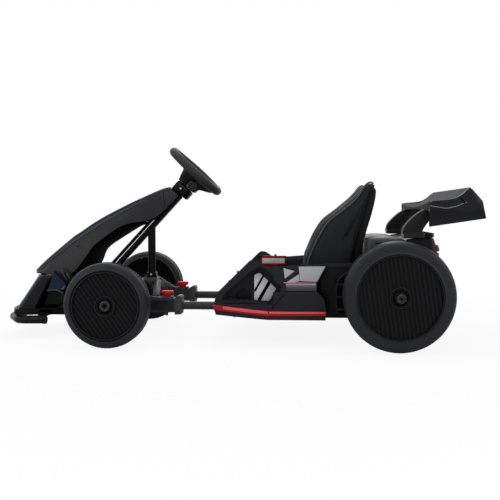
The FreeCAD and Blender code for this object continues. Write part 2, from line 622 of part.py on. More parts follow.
# Battery under the seat
parts["battery"] = box(-250, -70, -80, 80, 80, 130)

# Seat: a hard shell with a squab and a back, and the padding that lies in it
back_plate = side_slab([(-336, 134), (-352, 232), (-367, 299), (-391, 396), (-403, 430), (-412, 432),
                        (-418, 423), (-414, 396), (-404, 354), (-388, 299), (-372, 225), (-362, 134)],
                       20 - SEAT_HALF, SEAT_HALF - 20)
squab_plate = side_slab([(-20, 150), (-20, 158), (-200, 142), (-345, 142), (-345, 134), (-200, 134)],
                        -150, 150)
parts["seat_shell"] = join(back_plate, squab_plate)
# Side outline of the back pad at its piping, and how far its front moves forward at each width
PAD_FRONT = [(-226, 189), (-233, 230), (-244, 271), (-264, 313), (-280, 335), (-298, 353), (-331, 378),
             (-358, 401), (-374, 424), (-388, 441), (-400, 446)]
PAD_REAR = [(-411.9, 440), (-412, 432), (-403, 430), (-391, 396), (-367, 299), (-352, 232), (-338, 160)]
PAD_ROWS = [
    # half width, forward shift of the front, inset of the whole outline
    (SEAT_HALF, 0, 7), (SEAT_HALF - 3, 2, 2), (SEAT_HALF - 12, 8, 0), (SEAT_HALF - 28, 13, 0),
    (SEAT_HALF - 48, 6, 0), (SEAT_HALF - 68, -22, 0), (SEAT_HALF - 84, -40, 0), (0, -44, 0),
]


def pad_row(y, forward, inset):
    mid_x, mid_z = -345, 320
    run = [(x + forward * 0.97, z + forward * 0.25) for x, z in PAD_FRONT] + PAD_REAR
    ring = []
    for index, (x, z) in enumerate(run):
        reach = math.hypot(x - mid_x, z - mid_z)
        share = inset / reach if index < len(PAD_FRONT) else 0
        ring.append(V(x - (x - mid_x) * share, y, z - (z - mid_z) * share))
    return Part.makePolygon(ring + [ring[0]])


pad_runs = [(-y, forward, inset) for y, forward, inset in PAD_ROWS]
pad_runs = pad_runs + [(y, forward, inset) for y, forward, inset in PAD_ROWS[-2::-1]]
back_pad = Part.makeLoft([pad_row(*row) for row in pad_runs], True, True)

squab_side = [(-20, 158.5), (-6, 168), (-6, 180), (-26, 189), (-140, 182), (-206, 179),
              (-226, 172), (-330, 147.2), (-330, 142.5), (-200, 142.5)]
squab = side_slab(squab_side, -148, 148)
parts["seat_back_pad"] = back_pad
parts["seat_squab_pad"] = squab

# Rear body and deck: each is a side outline whose tail is drawn forward towards its two ends
def tapered_slab(outline, rows, keep_z, turn_x):
    # rows hold the half width, the inset of the outline there and how far back its tail may reach
    mid_x = sum(x for x, z in outline) / len(outline)
    mid_z = sum(z for x, z in outline) / len(outline)
    tail = min(x for x, z in outline)
    runs = [(-y, inset, limit) for y, inset, limit in rows]
    runs = runs + [(y, inset, limit) for y, inset, limit in rows[::-1]]
    wires = []
    for y, inset, limit in runs:
        ring = []
        for x, z in outline:
            share = inset / math.hypot(x - mid_x, z - mid_z)
            new_x = x - (x - mid_x) * share
            if new_x < turn_x:
                new_x = turn_x + (new_x - turn_x) * (turn_x - limit) / (turn_x - tail)
            new_z = z - (z - mid_z) * share if z > keep_z else z
            ring.append(V(new_x, y, new_z))
        wires.append(Part.makePolygon(ring + [ring[0]]))
    return Part.makeLoft(wires, True, True)


BODY_TOP_Z = 222.0
TAIL_X = -592.0
body_side = [(-400.3, 76.5), (-400.3, BODY_TOP_Z), (-560, BODY_TOP_Z), (-584, 210), (TAIL_X, 150), (-580, 96),
             (-562, 76.5)]
body_rows = [(BODY_HALF, 0, TAIL_X + 22), (BODY_HALF - 14, 0, TAIL_X + 12), (BODY_HALF - 60, 0, TAIL_X)]
parts["rear_body"] = tapered_slab(body_side, body_rows, 0, -550)

deck_base = BODY_TOP_Z + 0.5
deck_side = [(-402, deck_base), (-402, 274), (-405, 285), (-413, 291), (-435, 293), (-457, 292.5),
             (-480, 296), (-520, 299), (-550, 302), (-566, 301.5), (-574, 298), (-580, 291), (-582, 283),
             (-585, 273), (-589, 258), (-590, deck_base)]
deck_rows = [(DECK_HALF, 12, -562), (DECK_HALF - 5, 4, -568), (DECK_HALF - 15, 0, -572),
             (DECK_HALF - 60, 0, -584), (DECK_HALF - 120, 0, -590)]
deck = tapered_slab(deck_side, deck_rows, deck_base, -540)
parts["rear_deck"] = deck
lamp_side = [(-580, 268.5), (-592, 270.5), (-595.5, 263), (-596, 254), (-580, 254)]
parts["tail_lamp"] = side_slab(lamp_side, -90, 90).cut(deck)

# Side grilles: a bent upright with three bars that run back from it to a rear post
GRILLE_PITCH = 34.0
GRILLE_DEEP = 6.0
upright_side = [(-303, 89), (-303, 164), (-308, 178), (-318, 191), (-343, 206), (-343, 199), (-322, 186),
                (-313, 175), (-308, 163), (-308, 89)]
grille = [side_slab(upright_side, BODY_HALF, BODY_HALF + GRILLE_DEEP),
          box(-343, -338, BODY_HALF, BODY_HALF + GRILLE_DEEP, 89, 203)]
for step in range(3):
    z = 97.5 + step * GRILLE_PITCH
    grille.append(box(-342, -304, BODY_HALF, BODY_HALF + GRILLE_DEEP, z, z + 5))
parts["side_grilles"] = both_sides(join(*grille))

gearbox = rod(V(REAR_AXLE_X, BODY_HALF, REAR_TYRE_R), V(REAR_AXLE_X, BODY_HALF + 34, REAR_TYRE_R), 52)
nose_drum = rod(V(REAR_AXLE_X, BODY_HALF, REAR_TYRE_R), V(REAR_AXLE_X, BODY_HALF + 42, REAR_TYRE_R), 20)
axle_start = BODY_HALF + 30
axle_end = REAR_TYRE_Y + REAR_TYRE_WIDTH / 2 - 4
stub = rod(V(REAR_AXLE_X, axle_start, REAR_TYRE_R), V(REAR_AXLE_X, axle_end, REAR_TYRE_R), 7)
parts["rear_drives"] = both_sides(join(gearbox, nose_drum, stub))

# Wing: a thin hollow blade that sweeps up into a flap, on two swept legs, with an end plate on each tip
WING_SKIN = 5.0
BLADE_HALF = WING_END_Y - 12
blade_top = [(-540, 388), (-556, 389), (-575, 388.5), (-595, 391), (-614, 399), (-628, 411), (-641, 425),
             (-646, 425), (-660, 408), (-673, 392)]
blade_side = [(-540, 374)] + blade_top + [(-668, 376), (-664, 375)]
hollow_side = [(-545, 370)] + [(-545, 383.5)] + [(x, z - WING_SKIN) for x, z in blade_top[1:6]]
hollow_side = hollow_side + [(-643, 419), (-657, 404), (-664, 392), (-664, 370)]
blade = side_slab(blade_side, -BLADE_HALF, BLADE_HALF)
rib_places = (-BLADE_HALF, -150, 0, 150, BLADE_HALF)
for near, far in zip(rib_places, rib_places[1:]):
    blade = blade.cut(side_slab(hollow_side, near + 3, far - 3))
parts["wing_blade"] = blade

leg_side = [(-480, 290), (-480, 299), (-485, 313), (-497, 332), (-516, 352), (-541, 371), (-549, 392),
            (-585, 392), (-582, 374), (-566, 358), (-553, 336), (-545, 320), (-536, 299), (-536, 290)]
foot_side = [(-474, 290), (-474, 298), (-482, 302), (-532, 305), (-540, 303), (-540, 290)]
leg = side_slab(leg_side, WING_LEG_Y - 22, WING_LEG_Y - 2)
foot = side_slab(foot_side, WING_LEG_Y - 26, WING_LEG_Y)
leg = join(leg, foot).cut(deck).cut(blade)
leg = max(leg.Solids, key=lambda solid: solid.Volume)
parts["wing_legs"] = both_sides(leg)

end_side = [(-540, 325), (-540, 387), (-570, 388), (-592, 391), (-610, 397), (-624, 405), (-636, 419),
            (-641, 424), (-646, 422), (-673, 391), (-684, 345)]
slit_side = [(-622, 397), (-617, 402), (-629, 409), (-633, 405)]
end_plate = side_slab(end_side, BLADE_HALF, WING_END_Y)
end_plate = end_plate.cut(side_slab(slit_side, WING_END_Y - 7, WING_END_Y + 1))
parts["wing_end_plates"] = both_sides(end_plate)

os.makedirs("parts", exist_ok=True)
for name, shape in parts.items():
    shape.exportStep(os.path.join("parts", f"{name}.step"))
    print(name, len(shape.Solids), round(shape.Volume / 1000, 1))
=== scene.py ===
import json
import math
import bmesh
import bpy
from mathutils import Matrix, Vector


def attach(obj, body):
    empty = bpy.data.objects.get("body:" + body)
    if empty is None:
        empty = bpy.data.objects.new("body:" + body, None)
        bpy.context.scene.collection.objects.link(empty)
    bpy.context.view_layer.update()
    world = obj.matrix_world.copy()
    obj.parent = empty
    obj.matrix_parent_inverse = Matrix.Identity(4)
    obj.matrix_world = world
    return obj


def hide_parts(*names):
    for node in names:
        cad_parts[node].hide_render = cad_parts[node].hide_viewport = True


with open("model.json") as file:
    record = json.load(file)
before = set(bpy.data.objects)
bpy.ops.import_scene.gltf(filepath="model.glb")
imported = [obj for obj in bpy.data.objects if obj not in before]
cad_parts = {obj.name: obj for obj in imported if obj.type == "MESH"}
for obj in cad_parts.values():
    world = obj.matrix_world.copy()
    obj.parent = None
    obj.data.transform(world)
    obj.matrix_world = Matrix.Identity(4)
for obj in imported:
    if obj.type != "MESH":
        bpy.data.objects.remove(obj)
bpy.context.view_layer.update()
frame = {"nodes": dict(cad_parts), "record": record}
print("kart: frame loaded")

# Camera, floor and studio light

cameraValues = {
    "place": (-0.2205, 2.3897, 0.3668),
    "yawDeg": 3.93,  # towards the kart's nose
    "pitchDeg": 2.82,  # down
    "lens": 57.6,
}


def addCamera(v):
    yaw, pitch = math.radians(v["yawDeg"]), math.radians(v["pitchDeg"])
    look = Vector((math.sin(yaw) * math.cos(pitch), -math.cos(yaw) * math.cos(pitch), -math.sin(pitch)))
    data = bpy.data.cameras.new("kartCamera")
    data.lens = v["lens"]
    data.sensor_width = 36
    camera = bpy.data.objects.new("kartCamera", data)
    camera.matrix_world = Matrix.Translation(v["place"]) @ look.to_track_quat("-Z", "Y").to_matrix().to_4x4()
    bpy.context.collection.objects.link(camera)
    bpy.context.scene.camera = camera


addCamera(cameraValues)

lightValues = {
    # name: place, size, watts
    "overhead": ((0.0, 0.3, 2.6), 2.4, 20),
    "frontSide": ((1.9, 2.2, 1.5), 1.4, 15),
    "tailSide": ((-2.1, 1.9, 1.3), 1.4, 13),
    "behind": ((0.2, -2.4, 1.7), 2.0, 12),
    "world": 0.5,  # what the surroundings shed on the kart, against 1 for plain white
}


def addLights(v):
    for name, value in v.items():
        if name == "world":
            continue
        place, size, watts = value
        data = bpy.data.lights.new(name, "AREA")
        data.size = size
        data.energy = watts
        lamp = bpy.data.objects.new(name, data)
        aim = Vector((0, 0, 0.2)) - Vector(place)
        lamp.matrix_world = Matrix.Translation(place) @ aim.to_track_quat("-Z", "Y").to_matrix().to_4x4()
        bpy.context.collection.objects.link(lamp)


addLights(lightValues)


class Tap:
    # a socket that can stand in a sum, so that shader maths reads as arithmetic
    def __init__(self, tree, socket):
        self.tree = tree
        self.socket = socket

    def maths(self, operation, other, swap=False):
        node = self.tree.nodes.new("ShaderNodeMath")
        node.operation = operation
        pair = (other, self) if swap else (self, other)
        for index, value in enumerate(pair):
            if value is None:
                continue
            if isinstance(value, Tap):
                self.tree.links.new(value.socket, node.inputs[index])
            else:
                node.inputs[index].default_value = value
        return Tap(self.tree, node.outputs[0])

    def __add__(self, other):
        return self.maths("ADD", other)

    def __radd__(self, other):
        return self.maths("ADD", other, True)

    def __sub__(self, other):
        return self.maths("SUBTRACT", other)

    def __rsub__(self, other):
        return self.maths("SUBTRACT", other, True)

    def __mul__(self, other):
        return self.maths("MULTIPLY", other)

    def __rmul__(self, other):
        return self.maths("MULTIPLY", other, True)


class Nodes:
    # what a finish and a growth share: a tree whose nodes are made and fed in one call
    def node(self, kind, settings=None, inputs=None, out=0):
        # a node with its settings set first, then its sockets by value or link
        node = self.tree.nodes.new(kind)
        for key, value in (settings or {}).items():
            if key == "stops":
                ramp = node.color_ramp
                while len(ramp.elements) < len(value):
                    ramp.elements.new(0.5)
                for element, (position, colour) in zip(ramp.elements, value):
                    element.position = position
                    element.color = (*colour, 1)
            else:
                setattr(node, key, value)
        for key, value in (inputs or {}).items():
            self.feed(node.inputs[key], value)
        return Tap(self.tree, node.outputs[out])

    def feed(self, socket, value):
        if isinstance(value, Tap):
            self.tree.links.new(value.socket, socket)
        elif isinstance(value, tuple) and len(value) == 3 and socket.type == "RGBA":
            socket.default_value = (*value, 1)
        else:
            socket.default_value = value


class Finish(Nodes):
    # one material and its node tree
    def __init__(self, name):
        self.material = bpy.data.materials.new(name)
        self.material.use_nodes = True
        self.tree = self.material.node_tree
        self.tree.nodes.clear()
        self.output = self.tree.nodes.new("ShaderNodeOutputMaterial")
        self.shader = self.tree.nodes.new("ShaderNodeBsdfPrincipled")
        self.tree.links.new(self.shader.outputs[0], self.output.inputs["Surface"])
        place = self.tree.nodes.new("ShaderNodeTexCoord")
        self.place = Tap(self.tree, place.outputs["Object"])

    def set(self, **values):
        names = {
            "colour": "Base Color", "roughness": "Roughness", "normal": "Normal", "coat": "Coat Weight",
            "coatRoughness": "Coat Roughness", "specular": "Specular IOR Level",
        }
        for key, value in values.items():
            self.feed(self.shader.inputs[names[key]], value)

    def noise(self, scale, detail, rough):
        inputs = {"Vector": self.place, "Scale": scale, "Detail": detail, "Roughness": rough}
        return self.node("ShaderNodeTexNoise", None, inputs)

    def blendColours(self, share, first, second):
        # by number, because several of the mix node's sockets share a name: inputs 6 and 7 and output 2
        # are its colours
        return self.node("ShaderNodeMix", {"data_type": "RGBA"}, {0: share, 6: first, 7: second}, 2)

    def bump(self, height, distance, strength=1.0):
        return self.node("ShaderNodeBump", None,
                         {"Height": height, "Distance": distance, "Strength": strength})

    def range(self, value, low, high, outLow, outHigh):
        inputs = {0: value, 1: low, 2: high, 3: outLow, 4: outHigh}
        return self.node("ShaderNodeMapRange", {"clamp": True}, inputs)


# Finishes

plasticValues = {
    # name: colour, paler colour, roughness, grain height in mm, coat, specular
    "bodySatin": ((0.012, 0.012, 0.0135), (0.019, 0.019, 0.021), 0.40, 0.05, 0.0, 0.16),
    "bodyGloss": ((0.0035, 0.0038, 0.005), (0.006, 0.0065, 0.0085), 0.16, 0.006, 0.0, 0.16),
    "frameBlack": ((0.003, 0.003, 0.0035), (0.006, 0.006, 0.0065), 0.36, 0.03, 0.0, 0.07),
    "tubeBlack": ((0.005, 0.005, 0.0056), (0.009, 0.009, 0.010), 0.34, 0.01, 0.0, 0.10),
    "tubeSteel": ((0.014, 0.014, 0.016), (0.022, 0.022, 0.024), 0.22, 0.01, 0.0, 0.26),
    "rimBlack": ((0.004, 0.004, 0.005), (0.007, 0.007, 0.008), 0.46, 0.03, 0.0, 0.09),
    "capGrey": ((0.006, 0.006, 0.007), (0.011, 0.011, 0.013), 0.26, 0.01, 0.0, 0.22),
    "tyrePlastic": ((0.0105, 0.011, 0.0128), (0.0165, 0.0175, 0.020), 0.42, 0.05, 0.0, 0.17),
    "gripGrey": ((0.016, 0.016, 0.017), (0.026, 0.026, 0.028), 0.52, 0.10, 0.0, 0.2),
    "seatHard": ((0.005, 0.005, 0.006), (0.009, 0.009, 0.010), 0.50, 0.08, 0.0, 0.10),
    "deckGrey": ((0.024, 0.024, 0.026), (0.038, 0.038, 0.041), 0.44, 0.08, 0.0, 0.25),
    "castGrey": ((0.030, 0.030, 0.032), (0.046, 0.046, 0.050), 0.42, 0.06, 0.0, 0.22),
    "redPlastic": ((0.30, 0.004, 0.009), (0.40, 0.007, 0.015), 0.30, 0.01, 0.0, 0.12),
    "panelGrey": ((0.30, 0.30, 0.32), (0.40, 0.40, 0.42), 0.36, 0.02, 0.0, 0.3),
    "panelWhite": ((0.60, 0.60, 0.62), (0.72, 0.72, 0.74), 0.34, 0.02, 0.0, 0.3),
    "lensDark": ((0.003, 0.008, 0.022), (0.006, 0.016, 0.040), 0.12, 0.004, 0.0, 0.14),
    "shadowBlack": ((0.002, 0.002, 0.002), (0.003, 0.003, 0.003), 0.80, 0.03, 0.0, 0.02),
    "pipingGrey": ((0.040, 0.040, 0.042), (0.060, 0.060, 0.062), 0.50, 0.05, 0.0, 0.3),
    "latchRed": ((0.55, 0.004, 0.008), (0.72, 0.008, 0.014), 0.28, 0.01, 0.0, 0.2),
    "redPale": ((0.60, 0.075, 0.105), (0.72, 0.10, 0.135), 0.32, 0.01, 0.0, 0.2),
    "pinkTrim": ((0.55, 0.16, 0.20), (0.65, 0.20, 0.24), 0.35, 0.01, 0.0, 0.3),
    "lampRed": ((0.36, 0.004, 0.012), (0.50, 0.006, 0.020), 0.12, 0.004, 0.3, 0.5),
    "batteryGrey": ((0.02, 0.02, 0.02), (0.04, 0.04, 0.04), 0.5, 0.03, 0.0, 0.3),
    # a painted blue reflection of the sky, on the hood's band and the nose's front corners
    "bandBlue": ((0.008, 0.015, 0.026), (0.014, 0.024, 0.040), 0.20, 0.004, 0.2, 0.35),
    "podBlack": ((0.017, 0.0174, 0.0188), (0.027, 0.0275, 0.0295), 0.50, 0.02, 0.0, 0.0),
    # painted highlights along edges and creases of the wing
    "edgeGrey": ((0.20, 0.20, 0.21), (0.28, 0.28, 0.29), 0.30, 0.02, 0.0, 0.4),
    "wingTop": ((0.024, 0.024, 0.026), (0.036, 0.036, 0.039), 0.60, 0.03, 0.0, 0.04),
    "wingLeg": ((0.006, 0.006, 0.007), (0.010, 0.010, 0.011), 0.38, 0.03, 0.0, 0.16),
    "hubCap": ((0.010, 0.010, 0.012), (0.016, 0.016, 0.018), 0.26, 0.006, 0.0, 0.30),
    # painted highlight lines on the rims' rings
    "hubLine": ((0.016, 0.016, 0.018), (0.034, 0.034, 0.037), 0.36, 0.01, 0.0, 0.2),
    "armDark": ((0.010, 0.010, 0.011), (0.016, 0.016, 0.018), 0.40, 0.03, 0.0, 0.12),
    # pale grey for small parts, also used for painted highlights on edges and lit faces
    "armGrey": ((0.042, 0.042, 0.045), (0.060, 0.060, 0.064), 0.40, 0.05, 0.0, 0.3),
    "screwSteel": ((0.45, 0.45, 0.46), (0.60, 0.60, 0.62), 0.30, 0.01, 0.0, 0.5),
}


surfaceValues = {
    # noise scales, the share that dust has in the roughness, and the roughness of a coat
    "mottle": 9.0, "grain": 900.0, "dust": 28.0, "dustShare": 0.4, "coatRoughness": 0.12,
}


def mouldedFinish(name, values):
    v = surfaceValues
    colour, paler, rough, grainMm, coat, specular = values
    finish = Finish(name)
    mottle = finish.noise(v["mottle"], 4.0, 0.6)
    grain = finish.noise(v["grain"], 3.0, 0.6)
    dust = finish.range(finish.noise(v["dust"], 6.0, 0.7), 0.52, 0.78, 0.0, 1.0)
    finish.set(
        colour=finish.blendColours(mottle, colour, paler),
        roughness=finish.range(mottle + dust * v["dustShare"], 0.3, 0.9, rough * 0.88, rough * 1.16),
        normal=finish.bump(grain, grainMm / 1000),
        specular=specular,
        coat=coat,
        coatRoughness=v["coatRoughness"],
    )
    return finish.material


finishes = {name: mouldedFinish(name, values) for name, values in plasticValues.items()}


leatherValues = {
    "colour": (0.006, 0.0068, 0.0080), "paler": (0.013, 0.0142, 0.0165),
    "cells": 620.0, "mottle": 14.0, "creaseDeep": 0.00012, "specular": 0.14,
}


def seatFinish(v):
    finish = Finish("seatLeather")
    cells = finish.node("ShaderNodeTexVoronoi", {"feature": "DISTANCE_TO_EDGE"},
                        {"Vector": finish.place, "Scale": v["cells"]})
    crease = finish.range(cells, 0.0, 0.12, 0.0, 1.0)
    mottle = finish.noise(v["mottle"], 5.0, 0.6)
    finish.set(
        colour=finish.blendColours(mottle, v["colour"], v["paler"]),
        roughness=finish.range(mottle, 0.3, 0.7, 0.46, 0.62),
        normal=finish.bump(crease, v["creaseDeep"], 0.8),
        specular=v["specular"],
    )
    return finish.material


finishes["seatSoft"] = seatFinish(leatherValues)

shoulderHighlightValues = {
    # a painted highlight: the fade's lower and upper height in metres, and its colours from the one to the
    # other
    "low": 0.150, "high": 0.1715, "roughness": 0.42, "specular": 0.15,
    "stops": [(0.0, (0.013, 0.0135, 0.015)), (0.35, (0.028, 0.028, 0.031)), (0.62, (0.075, 0.076, 0.082)),
              (0.82, (0.16, 0.16, 0.172)), (1.0, (0.42, 0.42, 0.44))],
}


def shoulderHighlightFinish(v):
    # painted highlight: satin that pales towards the top of the pods' shoulder, where it turns to the sky
    finish = Finish("shoulderFade")
    parts = finish.node("ShaderNodeSeparateXYZ", None, {"Vector": finish.place}, "Z")
    height = finish.range(parts, v["low"], v["high"], 0.0, 1.0)
    ramp = finish.node("ShaderNodeValToRGB", {"stops": v["stops"]}, {0: height})
    finish.set(colour=ramp, roughness=v["roughness"], specular=v["specular"])
    return finish.material


finishes["shoulderFade"] = shoulderHighlightFinish(shoulderHighlightValues)

slotOf = {entry["node"]: entry["material_slot"] for entry in frame["record"]["subparts"]}


def dressNodes():
    for name, cadObject in frame["nodes"].items():
        # the slot tyre_plastic takes the finish tyrePlastic, and so on
        first, *others = slotOf[name].split("_")
        finish = finishes[first + "".join(word.capitalize() for word in others)]
        if cadObject.material_slots:
            for materialSlot in cadObject.material_slots:
                materialSlot.material = finish
        else:
            cadObject.data.materials.append(finish)


dressNodes()
print("kart: finishes on the frame's nodes")


# Shapes: a piece gathers its solids in millimetres and is settled on its body at the end


def smoothRun(points, steps=6):
    # a curve through the points, for outlines that bend softly
    run = []
    for index in range(len(points) - 1):
        before = Vector(points[max(index - 1, 0)])
        here, there = Vector(points[index]), Vector(points[index + 1])
        after = Vector(points[min(index + 2, len(points) - 1)])
        for step in range(steps):
            t = step / steps
            a = (2 * here + (there - before) * t + (2 * before - 5 * here + 4 * there - after) * t * t
                 + (3 * here - before - 3 * there + after) * t * t * t) * 0.5
            run.append(tuple(a))
    run.append(tuple(points[-1]))
    return run


def turns(count):
    # even angles round a circle
    return [2 * math.pi * index / count for index in range(count)]


def ringProfile(r0, r1, low, high):
    # the square section of a plain ring or, from 0, of a disc
    return [(r0, low), (r1, low), (r1, high), (r0, high)]


def rounded(solid, soften, angle, segments=2):
    # rounds by soften, in millimetres, the edges that are sharper than an angle in radians
    sharp = [e for e in solid.edges if len(e.link_faces) == 2 and e.calc_face_angle() > angle]
    bmesh.ops.bevel(solid, geom=sharp, offset=soften / 1000, segments=segments, profile=0.5,
                    affect="EDGES", clamp_overlap=True)


class Piece:
    # one object of the kart; every solid added to it carries its own finish
    def __init__(self, name):
        self.name = name
        self.mesh = bmesh.new()
        self.used = []

    def slot(self, finish):
        if finish not in self.used:
            self.used.append(finish)
        return self.used.index(finish)

    def add(self, points, faces, finish, soften=0.0, softAngle=28.0, rounds=2):
        # one closed solid in millimetres; its sharp edges are rounded by soften
        solid = bmesh.new()
        corners = [solid.verts.new(Vector(p) / 1000) for p in points]
        for face in faces:
            solid.faces.new([corners[i] for i in face])
        bmesh.ops.remove_doubles(solid, verts=solid.verts, dist=1e-6)
        bmesh.ops.recalc_face_normals(solid, faces=solid.faces)
        if soften:
            rounded(solid, soften, math.radians(softAngle), rounds)
        self.take(solid, finish)

    def take(self, solid, finish):
        index = self.slot(finish)
        for face in solid.faces:
            face.material_index = index
            face.smooth = True
        whole = bpy.data.meshes.new("solid")
        solid.to_mesh(whole)
        solid.free()
        self.mesh.from_mesh(whole)
        bpy.data.meshes.remove(whole)

    def copied(self, node, finish, soften):
        # the frame's own form of a node, merged from its loose triangles, with rounded edges
        source = frame["nodes"][node]
        solid = bmesh.new()
        solid.from_mesh(source.data)
        solid.transform(source.matrix_world)
        bmesh.ops.remove_doubles(solid, verts=solid.verts, dist=2e-5)
        bmesh.ops.dissolve_limit(solid, angle_limit=math.radians(1.0), verts=solid.verts, edges=solid.edges)
        rounded(solid, soften, math.radians(30.0))
        self.take(solid, finish)

    def loft(self, rings, finish, soften=0.0, closedRound=False, **more):
        # rings of equal count, joined in order, with a cap at each end or the last joined to the first
        count = len(rings[0])
        points = [p for ring in rings for p in ring]
        faces = []
        spans = len(rings) if closedRound else len(rings) - 1
        for row in range(spans):
            a, b = row * count, ((row + 1) % len(rings)) * count
            for i in range(count):
                j = (i + 1) % count
                faces.append((a + i, a + j, b + j, b + i))
        if not closedRound:
            faces.append(tuple(range(count))[::-1])
            faces.append(tuple((len(rings) - 1) * count + i for i in range(count)))
        self.add(points, faces, finish, soften, **more)

    def slab(self, outline, y0, y1, finish, soften=0.0, **more):
        # an (x, z) outline between two y planes
        self.loft([[(x, y, z) for x, z in outline] for y in (y0, y1)], finish, soften, **more)

    def bothSlabs(self, outline, y0, y1, finish, soften=0.0):
        self.slab(outline, y0, y1, finish, soften)
        self.slab(outline, -y1, -y0, finish, soften)

    def plan(self, outline, z0, z1, finish, soften=0.0):
        self.loft([[(x, y, z) for x, y in outline] for z in (z0, z1)], finish, soften)

    def block(self, x0, x1, y0, y1, z0, z1, finish, soften=0.0):
        self.plan([(x0, y0), (x1, y0), (x1, y1), (x0, y1)], z0, z1, finish, soften)

    def lathe(self, profile, centre, finish, axis=(0, 1, 0), sides=96):
        # (radius, distance) pairs turned about an axis; the profile is closed by the axis or on itself
        along = Vector(axis).normalized()
        first = along.orthogonal().normalized()
        second = along.cross(first)
        rings = []
        for turn in turns(sides):
            out = first * math.cos(turn) + second * math.sin(turn)
            rings.append([Vector(centre) + out * r + along * d for r, d in profile])
        self.loft(rings, finish, closedRound=True)

    def tube(self, points, r, finish, sides=24):
        # a round bar along a path, its frame carried without twist
        path = [Vector(p) for p in points]
        rings = []
        side = (path[1] - path[0]).orthogonal().normalized()
        for index, point in enumerate(path):
            along = (path[min(index + 1, len(path) - 1)] - path[max(index - 1, 0)]).normalized()
            side = (side - along * side.dot(along)).normalized()
            other = along.cross(side)
            rings.append([point + (side * math.cos(turn) + other * math.sin(turn)) * r
                          for turn in turns(sides)])
        self.loft(rings, finish)

    def mirror(self):
        # the same piece on the other side, y turned round
        copy = self.mesh.copy()
        for corner in copy.verts:
            corner.co.y = -corner.co.y
        bmesh.ops.reverse_faces(copy, faces=copy.faces)
        other = Piece(self.name)
        other.mesh = copy
        other.used = list(self.used)
        return other

    def both(self):
        # adds the mirrored half to this piece
        other = self.mirror()
        half = bpy.data.meshes.new("half")
        other.mesh.to_mesh(half)
        self.mesh.from_mesh(half)
        bpy.data.meshes.remove(half)
        return self

    def build(self, keepAngle=34.0):
        data = bpy.data.meshes.new(self.name)
        self.mesh.to_mesh(data)
        self.mesh.free()
        for finish in self.used:
            data.materials.append(finishes[finish])
        data.set_sharp_from_angle(angle=math.radians(keepAngle))
        made = bpy.data.objects.new(self.name, data)
        bpy.context.collection.objects.link(made)
        return made

    def settle(self, body, slot, *nodes, name=None, keepAngle=34.0):
        if name:
            self.name = name
        place(self.build(keepAngle), body, slot, *nodes)


def place(made, body, slot, *nodes):
    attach(made, body)
    if nodes:
        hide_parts(*nodes)


def applied(made):
    # the piece with its modifiers worked into a plain mesh
    depsgraph = bpy.context.evaluated_depsgraph_get()
    data = bpy.data.meshes.new_from_object(made.evaluated_get(depsgraph))
    made.modifiers.clear()
    old = made.data
    made.data = data
    bpy.data.meshes.remove(old)


def cutBy(made, cutters):
    # takes the cutter solids out of a piece
    for cutter in cutters:
        tool = cutter.build()
        step = made.modifiers.new("cut", "BOOLEAN")
        step.operation = "DIFFERENCE"
        step.solver = "EXACT"
        step.object = tool
        applied(made)
        bpy.data.objects.remove(tool)
    return made


# Repeats: each is a Geometry Nodes tree with named sizes, worked into a plain mesh


class Growth(Nodes):
    # a Geometry Nodes tree and its named inputs
    def __init__(self, name, sizes):
        self.tree = bpy.data.node_groups.new(name, "GeometryNodeTree")
        self.sockets = {}
        self.socket("Points", "Geometry")
        for label, value in sizes.items():
            self.socket(label, {int: "Int", float: "Float"}[type(value)]).default_value = value
        self.socket("Material", "Material")
        self.tree.interface.new_socket("Geometry", in_out="OUTPUT", socket_type="NodeSocketGeometry")
        self.entry = self.tree.nodes.new("NodeGroupInput")
        self.exit = self.tree.nodes.new("NodeGroupOutput")

    def socket(self, label, kind):
        made = self.tree.interface.new_socket(label, in_out="INPUT", socket_type="NodeSocket" + kind)
        self.sockets[label] = made.identifier
        return made

    def size(self, label):
        return Tap(self.tree, self.entry.outputs[label])

    def place(self, x=0.0, y=0.0, z=0.0):
        return self.node("ShaderNodeCombineXYZ", None, {0: x, 1: y, 2: z})

    def end(self, instances):
        real = self.node("GeometryNodeRealizeInstances", None, {"Geometry": instances})
        dressed = self.node("GeometryNodeSetMaterial", None,
                            {"Geometry": real, "Material": self.size("Material")})
        self.tree.links.new(dressed.socket, self.exit.inputs[0])

    def grow(self, values, finish, points=None, turn=None):
        # the tree's result as a plain mesh; sizes in metres
        data = bpy.data.meshes.new("growth")
        if points:
            data.from_pydata([spot for spot, aim in points], [], [])
            aims = data.attributes.new("aim", "FLOAT_VECTOR", "POINT")
            for index, (spot, aim) in enumerate(points):
                aims.data[index].vector = aim
        carrier = bpy.data.objects.new("growth", data)
        bpy.context.collection.objects.link(carrier)
        step = carrier.modifiers.new("growth", "NODES")
        step.node_group = self.tree
        for label, value in values.items():
            step[self.sockets[label]] = value
        step[self.sockets["Material"]] = finishes[finish]
        depsgraph = bpy.context.evaluated_depsgraph_get()
        result = bpy.data.meshes.new_from_object(carrier.evaluated_get(depsgraph))
        bpy.data.objects.remove(carrier)
        if turn:
            result.transform(turn)
        return result


